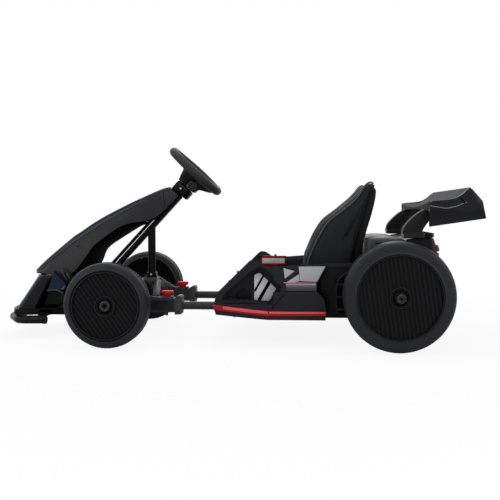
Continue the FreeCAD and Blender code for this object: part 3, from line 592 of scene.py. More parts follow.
def ribTree():
    # parallel bars that fill a round disc, each as long as the disc is wide there
    growth = Growth("discRibs", {"Count": 15, "Pitch": 0.011, "Radius": 0.086, "Width": 0.0065,
                                 "Height": 0.003})
    pitch, reach = growth.size("Pitch"), growth.size("Radius")
    start = (growth.size("Count") - 1) * pitch * -0.5
    line = growth.node("GeometryNodeMeshLine", {"mode": "OFFSET"}, {
        "Count": growth.size("Count"), "Start Location": growth.place(start), "Offset": growth.place(pitch)})
    across = growth.node("ShaderNodeSeparateXYZ", None, {0: growth.node("GeometryNodeInputPosition")})
    chord = (reach * reach - across * across).maths("SQRT", None) * 2
    bar = growth.node("GeometryNodeCurvePrimitiveLine", None, {"Start": (0, -0.5, 0), "End": (0, 0.5, 0)})
    width = growth.size("Width")
    section = growth.node("GeometryNodeCurvePrimitiveQuadrilateral", {"mode": "TRAPEZOID"}, {
        "Bottom Width": width * 1.15, "Top Width": width * 0.55, "Offset": 0.0,
        "Height": growth.size("Height")})
    solid = growth.node("GeometryNodeCurveToMesh", None, {
        "Curve": bar, "Profile Curve": section, "Fill Caps": True})
    growth.end(growth.node("GeometryNodeInstanceOnPoints", None, {
        "Points": line, "Instance": solid, "Scale": growth.place(1.0, chord, 1.0)}))
    return growth


def ringTree():
    # small blocks round a tyre's tread
    growth = Growth("treadBars", {"Count": 48, "Radius": 0.1, "Length": 0.02, "Width": 0.004, "Height": 0.002,
                                  "Slant": 0.3})
    circle = growth.node("GeometryNodeMeshCircle", None, {
        "Vertices": growth.size("Count"), "Radius": growth.size("Radius")})
    spot = growth.node("GeometryNodeInputPosition")
    aim = growth.node("FunctionNodeAlignRotationToVector", {"axis": "Z"}, {"Vector": spot})
    tilted = growth.node("FunctionNodeRotateRotation", {"rotation_space": "LOCAL"}, {
        "Rotation": aim, "Rotate By": growth.place(0.0, 0.0, growth.size("Slant"))})
    block = growth.node("GeometryNodeMeshCube", None, {
        "Size": growth.place(growth.size("Width"), growth.size("Length"), growth.size("Height"))})
    growth.end(growth.node("GeometryNodeInstanceOnPoints", None, {
        "Points": circle, "Instance": block, "Rotation": tilted}))
    return growth


def screwTree():
    # a domed screw head with a round recess at each point, along that point's aim
    growth = Growth("screwHeads", {"Radius": 0.003, "Height": 0.0018, "Recess": 0.0014})
    radius, height, recess = growth.size("Radius"), growth.size("Height"), growth.size("Recess")
    head = growth.node("GeometryNodeMeshCone", None, {
        "Vertices": 16, "Radius Top": radius * 0.72, "Radius Bottom": radius, "Depth": height})
    hole = growth.node("GeometryNodeMeshCone", None, {
        "Vertices": 6, "Radius Top": recess, "Radius Bottom": recess * 0.8, "Depth": height})
    lifted = growth.node("GeometryNodeTransform", None, {
        "Geometry": hole, "Translation": growth.place(0.0, 0.0, height * 0.6)})
    carved = growth.node("GeometryNodeMeshBoolean", {"operation": "DIFFERENCE"},
                         {"Mesh 1": head, "Mesh 2": lifted})
    aim = growth.node("GeometryNodeInputNamedAttribute", {"data_type": "FLOAT_VECTOR"}, {"Name": "aim"})
    turn = growth.node("FunctionNodeAlignRotationToVector", {"axis": "Z"}, {"Vector": aim})
    growth.end(growth.node("GeometryNodeInstanceOnPoints", None, {
        "Points": growth.size("Points"), "Instance": carved, "Rotation": turn}))
    return growth


def rowTree():
    # one bar repeated at even steps, for slats, ribs and stitches
    growth = Growth("barRow", {"Count": 6, "Step X": 0.0, "Step Y": 0.0, "Step Z": 0.02,
                               "Size X": 0.03, "Size Y": 0.004, "Size Z": 0.004})
    line = growth.node("GeometryNodeMeshLine", {"mode": "OFFSET"}, {
        "Count": growth.size("Count"),
        "Offset": growth.place(growth.size("Step X"), growth.size("Step Y"), growth.size("Step Z"))})
    bar = growth.node("GeometryNodeMeshCube", None, {
        "Size": growth.place(growth.size("Size X"), growth.size("Size Y"), growth.size("Size Z"))})
    growth.end(growth.node("GeometryNodeInstanceOnPoints", None, {"Points": line, "Instance": bar}))
    return growth


discRibs, treadBars, screwHeads, barRow = ribTree(), ringTree(), screwTree(), rowTree()


def takeGrowth(piece, mesh, finish, soften=0.0):
    # a grown mesh joins a piece, its sharp edges rounded when asked
    solid = bmesh.new()
    solid.from_mesh(mesh)
    bpy.data.meshes.remove(mesh)
    if soften:
        rounded(solid, soften, 0.6, 1)
    piece.take(solid, finish)


def addScrews(piece, spots, r=3.0, finish="screwSteel", height=1.8):
    # spots hold (point in mm, aim)
    points = [(Vector(spot) / 1000, Vector(aim)) for spot, aim in spots]
    values = {"Radius": r / 1000, "Height": height / 1000, "Recess": r * 0.00045}
    takeGrowth(piece, screwHeads.grow(values, finish, points), finish)


# Wheels

wheelValues = {
    # place, tyre radius and half width, then the disc's radii, its ribs, its hub's depth and axle, and
    # the height of its lip; the cap is a profile of radius and height over the disc
    "front": {"x": 306, "y": 291, "r": 114.5, "half": 35, "rim": 94, "ring": 89, "hub": 24, "pitch": 10.6,
              "ribs": 16, "leanDeg": -35, "hubIn": 16, "axle": 6.05, "lip": 7.0,
              "cap": [(15.4, 0.9), (15.4, 3), (14.8, 6), (13.6, 8.2), (12, 9.2), (10.4, 9.4), (8.6, 8.8),
                      (7.4, 7.4), (3, 7.0)]},
    "rear": {"x": -464, "y": 300, "r": 144, "half": 48, "rim": 111, "ring": 109, "hub": 24, "pitch": 10.9,
             "ribs": 19, "leanDeg": -8, "hubIn": 24, "axle": 7.05, "lip": 3.6,
             "cap": [(15.6, 0.9), (16, 4), (15.4, 8), (13.4, 25), (11.6, 28.6), (9.6, 30), (7.6, 29.5),
                     (6.4, 27.6), (3, 26.6)]},
}


treadSizes = {"Count": 64, "Length": 0.0078, "Width": 0.0024, "Height": 0.0014}


def tyrePiece(end, v):
    piece = Piece("tyre_" + end)
    r, half, bore = v["r"], v["half"], v["rim"]
    deep = r - 8
    outer = smoothRun([
        (bore + 0.3, half - 1.5), (bore + 1.6, half), (bore + 3.4, half - 0.8), (bore + 6, half - 2.0),
        (deep - 6, half - 2.6), (deep, half - 4.2),
    ], 3) + [(deep + 1.0, half - 5.6), (deep + 0.9, half - 6.4)] + smoothRun([
        (deep + 2.6, half - 7.2), (r - 2.6, half - 11), (r - 0.9, half - 16), (r, half - 22)], 4)
    groove = half - 27
    tread = [(r, groove + 5), (r - 1.6, groove + 4.2), (r - 1.6, groove - 4.2), (r, groove - 5),
             (r, 1.8), (r - 1.2, 1.2), (r - 1.2, 0)]
    upper = outer + tread
    profile = [(bore, half - 5)] + upper + [(a, -b) for a, b in upper[::-1][1:]] + [(bore, 5 - half)]
    piece.lathe(profile, (v["x"], v["y"], r), "tyrePlastic", sides=144)
    turn = Matrix.Translation(Vector((v["x"], v["y"], r)) / 1000) @ Matrix.Rotation(math.pi / 2, 4, "X")
    for side in (-1, 1):
        shift = Matrix.Translation((0, side * groove / 1000, 0))
        values = {**treadSizes, "Radius": (r - 1.1) / 1000, "Slant": 0.35 * side}
        takeGrowth(piece, treadBars.grow(values, "tyrePlastic", turn=shift @ turn), "tyrePlastic")
    return piece


def rimPiece(end, v):
    piece = Piece("rim_" + end)
    band, disc, hub, ring = v["rim"] - 0.5, v["half"] - 10, v["hub"], v["ring"]
    centre = (v["x"], v["y"], v["r"])
    piece.lathe([
        (band, 8 - v["half"]), (band, disc + 5), (band - 0.8, disc + 6.2), (ring + 1.6, disc + 6.4),
        (ring + 0.9, disc + 7.3), (ring - 0.9, disc + 7.3), (ring - 1.8, disc + 6), (ring - 2.6, disc - 2.6),
        (hub + 0.6, disc - 2.6), (hub, disc + 2.6), (hub - 1, disc + 4), (hub - 3.6, disc + 4),
        (hub - 4.6, disc + 2.8), (hub - 5, disc + 0.6), (v["axle"], disc + 0.6), (v["axle"], -v["hubIn"]),
        (hub - 5, -v["hubIn"]), (hub - 5, disc - 6), (band - 5, disc - 6), (band - 5, 8 - v["half"]),
    ], centre, "rimBlack", sides=128)
    # raised lip round the hub, over the inner ends of the ribs
    lip = disc + v["lip"]
    piece.lathe([(hub, disc - 2), (hub + 4.4, disc - 2), (hub + 4, disc + 2.8), (hub + 3.2, lip - 0.6),
                 (hub + 2.2, lip),
                 (hub + 0.8, lip - 0.4), (hub, lip - 1.6)], centre, "rimBlack", sides=96)
    cap = [(r, disc + height) for r, height in v["cap"]]
    piece.lathe([(0, cap[0][1])] + cap + [(0, cap[-1][1])], centre, "hubCap", sides=56)
    # painted shade on the floors of the cap's dimple and of the well round it, and painted highlight lines on
    # two rings
    floor = cap[-1][1]
    piece.lathe(ringProfile(0, 6.6, floor - 1, floor + 0.3), centre, "shadowBlack", sides=32)
    piece.lathe(ringProfile(16.4, 19, disc - 1, disc + 1), centre, "shadowBlack", sides=48)
    for r, height in ((hub + 2.2, lip), (ring, disc + 7.2)):
        piece.lathe(ringProfile(r - 0.4, r + 0.4, height - 0.6, height + 0.2), centre, "hubLine", sides=128)
    values = {"Count": v["ribs"], "Pitch": v["pitch"] / 1000, "Radius": (ring - 2) / 1000,
              "Width": v["pitch"] * 0.00052, "Height": 0.0034}
    turn = (Matrix.Translation(Vector((v["x"], v["y"] + disc - 1.0, v["r"])) / 1000)
            @ Matrix.Rotation(math.radians(-v["leanDeg"]), 4, "Y")
            @ Matrix.Rotation(-math.pi / 2, 4, "X"))
    takeGrowth(piece, discRibs.grow(values, "rimBlack", turn=turn), "rimBlack", 0.4)
    return piece


def addWheels():
    for end, v in wheelValues.items():
        for make, kind, slotName in ((tyrePiece, "tyre", "tyre_plastic"), (rimPiece, "rim", "rim_black")):
            left = make(end, v)
            right = left.mirror()
            for side, piece in (("left", left), ("right", right)):
                piece.settle(f"wheel_{end}_{side}", slotName, f"{kind}_{end}_{side}",
                             name=f"{kind}Skin_{end}_{side}")


addWheels()
print("kart: wheels")

# Hood: a satin shell through stations, with a leaning band pressed in under its ridge

hoodValues = {
    "wall": 4.0, "bandTop": 7.0, "bandLow": 17.0, "bandDepth": 3.0, "crown": 3.0,
    "painted": (9, 42),  # the first and last of the smooth stations that carry the band's painted blue reflection
    "stations": [
        # ridge x, ridge z, edge x, edge z, ridge half, edge half, band share
        (574, 190, 562, 184, 72, 102, 0.0), (566, 199, 548, 183, 74, 105, 0.0),
        (540, 224, 515, 183, 72, 106, 0.2), (506, 253, 460, 183, 70, 106, 0.5),
        (463, 289, 417, 231, 66, 101, 0.9), (439, 305, 398, 260, 64, 98, 1.0),
        (415, 322, 380, 276, 62, 95, 1.0), (375, 347, 352, 297, 58, 90, 1.0),
        (324, 374, 318, 320, 53, 84, 1.0), (290, 391, 284, 331, 49, 77, 0.8),
        (264, 403, 256, 335, 46, 71, 0.5), (222, 422, 222, 345, 40, 62, 0.3),
        (200, 431, 190, 372, 34, 54, 0.1), (181, 436, 153, 412, 30, 44, 0.0),
    ],
}


def hoodLines(v, station):
    # how far down from the ridge the edge, the band's lower line and its upper line lie
    ridgeX, ridgeZ, edgeX, edgeZ = station[:4]
    fall = math.hypot(edgeX - ridgeX, edgeZ - ridgeZ)
    return fall, min(v["bandLow"], fall * 0.45), min(v["bandTop"], fall * 0.2)


def hoodSide(v, station, down, lift=0.0):
    # a point of the hood's side, a length down from the ridge and raised off the skin
    ridgeX, ridgeZ, edgeX, edgeZ, ridgeHalf, edgeHalf, band = station
    fall, low, top = hoodLines(v, station)
    pressed = v["bandDepth"] * band
    spread = edgeHalf - ridgeHalf
    table = [(0, 0), (top * 0.8, spread * 0.2), (top, spread * 0.25 - pressed * 0.6),
             (low, spread * 0.45 - pressed), (low + 1.5, spread * 0.5), (fall * 0.7, spread * 0.9),
             (fall, spread)]
    for (nearDown, nearOut), (farDown, farOut) in zip(table, table[1:]):
        if down <= farDown + 1e-6:
            share = (down - nearDown) / (farDown - nearDown)
            outward = nearOut + (farOut - nearOut) * share
            break
    t = down / fall
    return (ridgeX + (edgeX - ridgeX) * t, ridgeHalf + outward + lift, ridgeZ + (edgeZ - ridgeZ) * t)


def hoodRing(v, station):
    ridgeX, ridgeZ, edgeX, edgeZ, ridgeHalf = station[:5]
    fall, low, top = hoodLines(v, station)
    downs = [fall, fall * 0.7, low + 1.5, low, top, top * 0.8, 0]
    outer = [hoodSide(v, station, down) for down in downs]
    wall = v["wall"]

    def crown(down, y):
        t = down / fall
        return (ridgeX + (edgeX - ridgeX) * t, y, ridgeZ + (edgeZ - ridgeZ) * t)

    high = v["crown"]
    outer += [crown(-high * 0.45, ridgeHalf * 0.8), crown(-high * 0.85, ridgeHalf * 0.45), crown(-high, 0)]
    inner = [hoodSide(v, station, down, -wall) for down in (fall, fall * 0.7, low)]
    inner += [crown(wall + 1, ridgeHalf - wall), crown(wall, 0)]
    run = outer + [(x, -y, z) for x, y, z in outer[-2::-1]] + [(x, -y, z) for x, y, z in inner]
    return run + inner[-2::-1]


def hoodStrip(piece, v, stations, spans, finish, lift, side):
    # a thin strip that follows the band; spans gives its upper and lower line at a band share
    rings = []
    for station in stations:
        upper, lower = spans(station[6])
        ring = [hoodSide(v, station, upper, lift), hoodSide(v, station, lower, lift),
                hoodSide(v, station, lower, -0.8), hoodSide(v, station, upper, -0.8)]
        rings.append([(x, y * side, z) for x, y, z in ring])
    piece.loft(rings, finish, 0.15)


def addHood(v):
    piece = Piece("hoodShell")
    stations = smoothRun(v["stations"], 4)
    piece.loft([hoodRing(v, station) for station in stations], "bodySatin", 0.7, softAngle=50)
    marked = stations[slice(*v["painted"])]
    for side in (1, -1):
        # a strip of painted blue reflection on each side of the band, with a line of painted shade above and
        # below it
        hoodStrip(piece, v, marked, lambda share: (8.2, 8.6 + 7.2 * share), "bandBlue", 0.35, side)
        hoodStrip(piece, v, marked, lambda share: (7.4, 8.2), "shadowBlack", 0.5, side)
        hoodStrip(piece, v, marked, lambda share: (9.0 + 7.2 * share, 9.9 + 7.2 * share), "shadowBlack",
                  0.5, side)
    piece.bothSlabs([(441, 262), (436, 268), (434, 266), (439, 260)], 102.4, 104.0, "frameBlack")
    # seam across the rear of the hood, where its end panel begins
    rear = v["stations"][-2]
    seam = [hoodSide(v, rear, down, 0.25) for down in (54, 40, 20, 6, 0)]
    piece.tube(seam + [(x, -y, z) for x, y, z in seam[::-1]], 0.8, "shadowBlack", sides=6)
    piece.settle("front_section", "body_satin", "hood", keepAngle=22)


addHood(hoodValues)

linerValues = {
    # lower x, lower z, lower half, upper x, upper z, upper half
    "stations": [
        (426, 186, 80, 452, 188, 97), (411, 212, 82, 430, 220, 96), (398, 243, 80, 408, 248, 92),
        (379, 262, 78, 388, 271, 89), (349, 281, 75, 354, 292, 84), (315, 302, 70, 319, 316, 78),
        (281, 321, 64, 284, 328, 71), (252, 329, 58, 256, 334, 65),
    ],
}


def addLiner(v):
    piece = Piece("hoodLinerShell")
    rings = []
    for lowX, lowZ, lowHalf, highX, highZ, highHalf in smoothRun(v["stations"], 3):
        rings.append([(lowX, -lowHalf, lowZ), (lowX, lowHalf, lowZ), (highX, highHalf, highZ),
                      (highX, -highHalf, highZ)])
    piece.loft(rings, "shadowBlack", 1.5, softAngle=40)
    piece.settle("front_section", "frame_black", "hood_liner")


addLiner(linerValues)

# Lower nose: gloss walls that lean back, a lip and a tray under them

noseValues = {
    "levels": [
        # height, rear x, corner x, shoulder x, tip x
        (82, 555, 607, 624, 638), (130, 532, 574, 591, 604), (182, 509, 540, 556, 566),
    ],
    "half": 150, "shoulderHalf": 96, "wall": 5, "chamfer": 7,
}


def noseRing(v, level, grow=0.0):
    z, rear, corner, shoulder, tip = level
    half = v["half"] + grow
    front = smoothRun([(corner + grow, half - v["chamfer"]), (shoulder + grow, v["shoulderHalf"]),
                       (tip + grow, 0)], 5)
    outer = [(rear, half), (corner - v["chamfer"] * 0.8, half)] + front
    inner = [(x - v["wall"], max(y - v["wall"], 0)) for x, y in outer]
    inner[0] = (rear, half - v["wall"])
    run = outer + [(x, -y) for x, y in outer[::-1][1:]] + [(x, -y) for x, y in inner] + inner[::-1][1:]
    return [(x, y, z) for x, y in run]


def addNose(v):
    piece = Piece("noseShell")
    piece.loft([noseRing(v, level) for level in v["levels"]], "bodyGloss", 1.2, softAngle=40)
    low = v["levels"][0]
    lip = [(z,) + tuple(x + out for x in low[1:]) for z, out in ((67.5, 3), (70, 5.5), (84, 4))]
    piece.loft([noseRing(v, level, 3.0) for level in lip], "frameBlack", 0.8, softAngle=40)
    for side in (1, -1):
        # a strip of painted blue reflection along each front corner
        piece.slab([(533, 181), (539, 181), (603, 87), (594, 87)], side * 149.6 - 0.5, side * 149.6 + 0.6,
                   "bandBlue", 0.3)
    tray = [(540, 150), (606, 150), (630, 95), (644, 0)]
    piece.plan(tray + [(x, -y) for x, y in tray[::-1][1:]], 68, 83, "frameBlack", 1.0)
    piece.plan([(470, 110), (548, 146), (548, -146), (470, -110)], 81, 85, "frameBlack", 1.0)
    # short bars under the tray
    for side in (1, -1):
        piece.block(494, 533, side * 60 - 7, side * 60 + 7, 65, 77, "armGrey", 1.5)
    piece.settle("front_section", "body_gloss", "nose_lower")


addNose(noseValues)

# Side lenses: a faceted dark blue face over a black recess; ribbed brackets behind them

lensValues = {"back": 112, "face": 142}


def addLenses(v):
    piece = Piece("lensFacets")
    back, face = v["back"], v["face"]
    points = [
        (521, back, 137), (483, back, 134), (466, back, 154), (503, back, 194), (511, back, 184),
        (517, face, 139), (502, face - 5, 188), (468, face - 10, 154), (485, face - 2, 137),
        (503, face - 7, 191),
    ]
    faces = [(0, 1, 2, 3, 4), (5, 6, 8), (6, 7, 8), (0, 4, 6, 5), (4, 3, 9, 6), (3, 2, 7, 9), (9, 7, 6),
             (2, 1, 8, 7), (1, 0, 5, 8)]
    piece.add(points, faces, "lensDark", 0.7, softAngle=12, rounds=1)
    trim = [(519.5, 135.5), (520, 139.5), (497, 141.5), (484, 138.5), (473, 131), (474, 127.5),
            (485, 134.5), (497, 137.5)]
    piece.slab(trim, face - 6, face + 0.5, "castGrey", 0.5)
    piece.slab([(522, 134.5), (486, 130), (486, 96), (536, 92)], back - 26, back + 8, "frameBlack", 1.0)
    piece.both().settle("front_section", "lens_dark", "side_lenses", keepAngle=8)


addLenses(lensValues)

bracketValues = {"inner": 86, "outer": 111.5, "finOuter": 118, "ribs": 4}


def addBrackets(v):
    piece = Piece("ribbedBrackets")
    piece.slab([(503, 182.7), (463, 135), (446, 76.2), (430, 76.2), (434, 165), (460, 182.7)],
               v["inner"], v["outer"], "frameBlack", 1.2)
    piece.slab([(494, 186), (480, 200), (468, 193), (455, 174), (472, 157)], 107, v["finOuter"] - 2.5,
               "bodySatin", 1.0)
    for index in range(v["ribs"]):
        # steep ribs across the plate, each a step further back
        shift = index * 8.4
        piece.slab([(488 - shift, 192.5 - shift * 0.62), (484 - shift, 196.5 - shift * 0.62),
                    (463 - shift * 0.35, 170 - shift * 0.1), (468 - shift * 0.35, 163 + shift * 0.2)],
                   108, v["finOuter"], "frameBlack" if index % 2 else "castGrey", 0.8)
    piece.both().settle("front_section", "frame_black", "side_brackets")


addBrackets(bracketValues)

bumperValues = {"r": 11.8, "plugR": 12.6, "plugX": (519.5, 531), "bend": 34,
                "run": [(524, 150, 54.6), (600, 150, 53.6), (647, 64, 52.4), (647, -64, 52.4),
                        (600, -150, 53.6), (524, -150, 54.6)]}


def roundedPath(points, bend, steps=8):
    # straight runs joined by round bends
    path = [Vector(points[0])]
    for before, corner, after in zip(points, points[1:], points[2:]):
        before, corner, after = Vector(before), Vector(corner), Vector(after)
        a, b = (before - corner).normalized(), (after - corner).normalized()
        reach = bend / math.tan(a.angle(b) / 2)
        start, end = corner + a * reach, corner + b * reach
        centre = corner + (a + b).normalized() * (bend / math.sin(a.angle(b) / 2))
        for index in range(steps + 1):
            spoke = (start - centre).slerp(end - centre, index / steps).normalized() * bend
            path.append(centre + spoke)
    path.append(Vector(points[-1]))
    return path


def addBumper(v):
    piece = Piece("bumperBar")
    piece.tube(roundedPath(v["run"], v["bend"]), v["r"], "tubeBlack", sides=28)
    rear, front = v["plugX"]
    for side in (1, -1):
        slope = (Vector((front, 0, 54.3)) - Vector((rear, 0, 54.5))).normalized()
        piece.lathe([(0, 2.5), (7, 2.5), (8, 0), (v["plugR"] - 0.8, 0), (v["plugR"], 1), (v["plugR"], 11),
                     (11.9, 11.5), (0, 11.5)], (rear, 150 * side, 54.5), "frameBlack", axis=slope, sides=36)
    piece.settle("front_section", "frame_black", "bumper_tube")


addBumper(bumperValues)
print("kart: nose and hood")

# Steering: places along the column run down from the middle of the wheel, and across it

columnValues = {"centre": (107, 0, 484), "tiltDeg": 47.4}


def onColumn(down, across=0.0, y=0.0):
    tilt = math.radians(columnValues["tiltDeg"])
    x, _, z = columnValues["centre"]
    return (x + math.cos(tilt) * down + math.sin(tilt) * across, y,
            z - math.sin(tilt) * down + math.cos(tilt) * across)


def columnDown():
    return Vector(onColumn(1)) - Vector(onColumn(0))


def columnSlab(piece, outline, half, finish, soften, middle=0.0):
    # an outline of (down, across) pairs, extruded across the kart
    rings = [[onColumn(down, across, middle + y) for down, across in outline] for y in (-half, half)]
    piece.loft(rings, finish, soften)


steeringValues = {"ringR": 87, "gripR": 13, "spokeDegrees": (0, 115, -115)}


def addSteeringWheel(v):
    piece = Piece("steeringWheelGrip")
    down, across, side = columnDown(), Vector(onColumn(0, 1)) - Vector(onColumn(0)), Vector((0, 1, 0))
    centre = Vector(columnValues["centre"])
    rings = []
    for turn in turns(120):
        out = across * math.cos(turn) + side * math.sin(turn)
        thick = 1 + 0.03 * math.cos(turn * 4)  # fuller where the hands lie
        rings.append([centre + out * (v["ringR"] + v["gripR"] * 0.94 * math.cos(a))
                      + down * (v["gripR"] * 0.95 * thick * math.sin(a)) for a in turns(24)])
    piece.loft(rings, "gripGrey", closedRound=True)
    for degrees in v["spokeDegrees"]:
        turn = math.radians(degrees)
        out = across * -math.cos(turn) + side * math.sin(turn)
        wide = down.cross(out)
        rings = []
        for reach, width, near, far in ((18, 24, 4, 17), (46, 15, 3, 12), (70, 13, 1, 9), (84, 17, -2, 7)):
            middle = centre + out * reach
            rings.append([middle + wide * width + down * near, middle - wide * width + down * near,
                          middle - wide * (width - 2) + down * far, middle + wide * (width - 2) + down * far])
        piece.loft(rings, "frameBlack", 1.6)
    piece.lathe([(0, 2), (26, 2), (31, 5), (35, 9), (35, 15), (31, 22), (27, 34), (22, 44), (19, 51.7),
                 (6, 51.7), (6, 44), (0, 44)],
                centre, "frameBlack", axis=down, sides=48)
    # the cover under the wheel, which runs out to the grip, and the housing above it
    columnSlab(piece, [(6, -82), (13, -81), (20, -73), (29, -54), (36, -43), (51, -41), (51, -30),
                       (44, -12), (20, 0), (8, 0)],
               22, "frameBlack", 3.0)
    columnSlab(piece, [(8, 30), (19, 29), (28, 27), (39, 23.6), (51.6, 18.8), (51.6, 4), (44, -4),
                       (12, -6)], 17, "frameBlack", 2.0)
    for side in (1, -1):
        # painted highlights along the housing's upper edges, and a pale grey lever beside them
        edge = [(17, 22), (29, 16), (44, 8), (51, 7.4), (51, 11), (44, 12), (30, 19.6), (17, 25.4)]
        columnSlab(piece, edge, 1.6, "armGrey", 0.6, middle=side * 17.4)
        columnSlab(piece, [(20, -11), (21, -16), (46, -17), (51, -16), (51, -11), (46, -10.6)], 2.4,
                   "armGrey", 1.2, middle=side * 23)
        piece.lathe([(0, 0), (13.6, 0), (13.6, 6), (12, 8), (8.5, 8), (8.5, 6.4), (5, 6.4), (5, 8.6),
                     (0, 8.6)],
                    onColumn(37.5, -26, side * 20), "bodySatin", axis=(0, side, 0), sides=40)
    piece.settle("steering", "frame_black", "steering_wheel")


addSteeringWheel(steeringValues)

headValues = {"half": 20}


def addColumnHead(v):
    piece = Piece("columnHeadClamp")
    columnSlab(piece, [(53, 18), (82, 18), (84, 14), (86, -9), (82, -24), (81, -37.5), (56, -37.5),
                       (53, -24)],
               v["half"], "frameBlack", 2.0)
    columnSlab(piece, [(56, 16), (62, 9), (60, -22), (57, -22)], v["half"] + 1.0, "bodySatin", 0.8)
    columnSlab(piece, [(60, -24), (80, -26), (79, -35), (60, -35)], v["half"] + 2.4, "shadowBlack", 1.2)
    spots = [(onColumn(66.5, -3.5, side * (v["half"] + 0.1)), (0, side, 0)) for side in (1, -1)]
    addScrews(piece, spots, 3.4)
    piece.settle("front_section", "frame_black", "column_head")


addColumnHead(headValues)
print("kart: steering")

# Column frame: a square tube on a post, whose foot stands on a casting with an arm to each socket

castingValues = {
    "tube": (85, 408), "postX": 241, "postR": 11.5, "foot": 14.5,
    "side": [(228, 134), (214, 138), (212, 154), (222, 166), (262, 166), (269, 158), (266, 150.5),
             (230.5, 150.5)],
}


def taperedArm(piece, start, end, deep, high, finish, soften):
    # an arm of rectangular section between two places, slimmer at its end
    rings = []
    corners = ((1, 1), (-1, 1), (-1, -1), (1, -1))
    for (x, y, z), share in ((start, 1.0), (end, 0.8)):
        rings.append([(x + deep * share * a, y, z + high * share * b) for a, b in corners])
    piece.loft(rings, finish, soften)


def addColumnFrame(v):
    piece = Piece("columnFrameCasting")
    near, far = v["tube"]
    columnSlab(piece, [(near, -23), (far, -23), (far, -7.5), (near, -7.5)], 12, "frameBlack", 1.2)
    columnSlab(piece, [(near + 12, -19), (far - 14, -19), (far - 14, -12), (near + 12, -12)], 12.5,
               "frameBlack", 0.4)
    x, r = v["postX"], v["postR"]
    rings = [[], []]
    for turn in turns(40):
        out, across = r * math.cos(turn), r * math.sin(turn)
        rings[0].append((x + out, across, 165))
        rings[1].append((x + out, across, 305.5 - out * 1.09))
    piece.loft(rings, "frameBlack")
    foot = v["foot"]
    piece.block(x - foot, x + foot, -foot, foot, 165, 181, "frameBlack", 2.0)
    piece.block(x - foot - 4, x + foot + 4, -foot - 3, foot + 3, 164, 168.5, "frameBlack", 1.2)
    spots = [((x, side * (foot + 0.1), 175), (0, side, 0)) for side in (1, -1)]
    addScrews(piece, spots, 3.2, "screwSteel")
    piece.slab(v["side"], -24, 24, "castGrey", 2.4)
    piece.lathe([(0, -32), (8, -32), (9.5, -30.5), (9.5, 30.5), (8, 32), (0, 32)], (221, 0, 146),
                "castGrey", sides=36)
    for side in (1, -1):
        taperedArm(piece, (220, 14 * side, 151.5), (203, 140 * side, 120), 11, 9, "castGrey", 2.0)
        # a painted highlight on the lit upper face of each arm
        taperedArm(piece, (220, 20 * side, 160), (205, 132 * side, 128.5), 4, 3, "armGrey", 0.8)
        taperedArm(piece, (258, 16 * side, 161), (300, 104 * side, 130.5), 9, 5, "castGrey", 1.6)
    bow = smoothRun([(214, 22, 164), (206, 30, 162), (201, 40, 152), (203, 52, 143)], 5)
    piece.tube(bow, 3.4, "armGrey", sides=12)
    piece.settle("front_section", "frame_black", "column_frame")


addColumnFrame(castingValues)

socketValues = {"y": 145}


def addSockets(v):
    # the bored sockets keep the frame's form; ribs, a boss and the collar's bolt lie on them
    piece = Piece("tubeSocketCastings")
    piece.copied("tube_sockets", "castGrey", 1.6)
    y = v["y"]
    boss = [(152, 86), (212, 86), (216, 92), (216, 108), (208, 116), (152, 114)]
    piece.bothSlabs(boss, y + 18.5, y + 20.2, "bodySatin", 0.5)
    piece.bothSlabs([(127, 100), (143, 100), (143, 105), (127, 105)], y + 22.5, y + 24, "armGrey", 0.5)
    for side in (1, -1):
        addScrews(piece, [((135, side * (y + 23.2), 82), (0, side, 0))], 3.4, "capGrey")
        addScrews(piece, [((204, side * (y + 20.3), 100), (0, side, 0))], 2.6, "capGrey")
    piece.settle("front_section", "body_satin", "tube_sockets", keepAngle=28)


addSockets(socketValues)

latchValues = {"x": 169, "y": 145}


def addLatches(v):
    piece = Piece("latchThumbPieces")
    levels = [(124, 9, 8.5), (126.5, 10, 9), (129, 13.5, 10.5), (132, 17, 12.3), (135, 18, 13),
              (138.4, 17.6, 12.8), (140, 15.5, 11)]
    rings = []
    for z, deep, wide in levels:
        ring = []
        for turn in turns(40):
            # a rounded oblong rather than a plain ellipse
            c, s = math.cos(turn), math.sin(turn)
            ring.append((v["x"] + deep * math.copysign(abs(c) ** 0.75, c),
                         v["y"] + wide * math.copysign(abs(s) ** 0.75, s), z))
        rings.append(ring)
    piece.loft(rings, "latchRed", 0.3, softAngle=35)
    piece.block(v["x"] - 10, v["x"] + 10, v["y"] - 2, v["y"] + 2, 139.4, 140.6, "redPale", 0.6)
    piece.both().settle("front_section", "red_plastic", "clamp_latches")


addLatches(latchValues)

tubeValues = {"x": (-90, 215), "y": 145, "z": 98, "r": 11.5, "holes": 4, "firstHole": 20, "holeStep": 16}


def addTelescopicTubes(v):
    piece = Piece("telescopicTubes")
    start, end = v["x"]
    profile = [(v["r"] - 2, start), (v["r"], start), (v["r"], end - 1), (v["r"] - 1, end), (v["r"] - 2, end)]
    piece.lathe(profile, (0, v["y"], v["z"]), "tubeSteel", axis=(1, 0, 0), sides=56)
    # adjusting holes along the lower side, drawn as thin discs of painted shade
    for index in range(v["holes"]):
        hole = (v["firstHole"] + index * v["holeStep"], v["y"], v["z"] - v["r"])
        piece.lathe(ringProfile(0, 2.2, 0, 0.12), hole, "shadowBlack", axis=(0, 0, -1), sides=20)
    piece.both().settle("chassis", "tube_steel", "telescopic_tubes")


addTelescopicTubes(tubeValues)

# Pieces that keep the frame's own form, with rounded edges and their fasteners

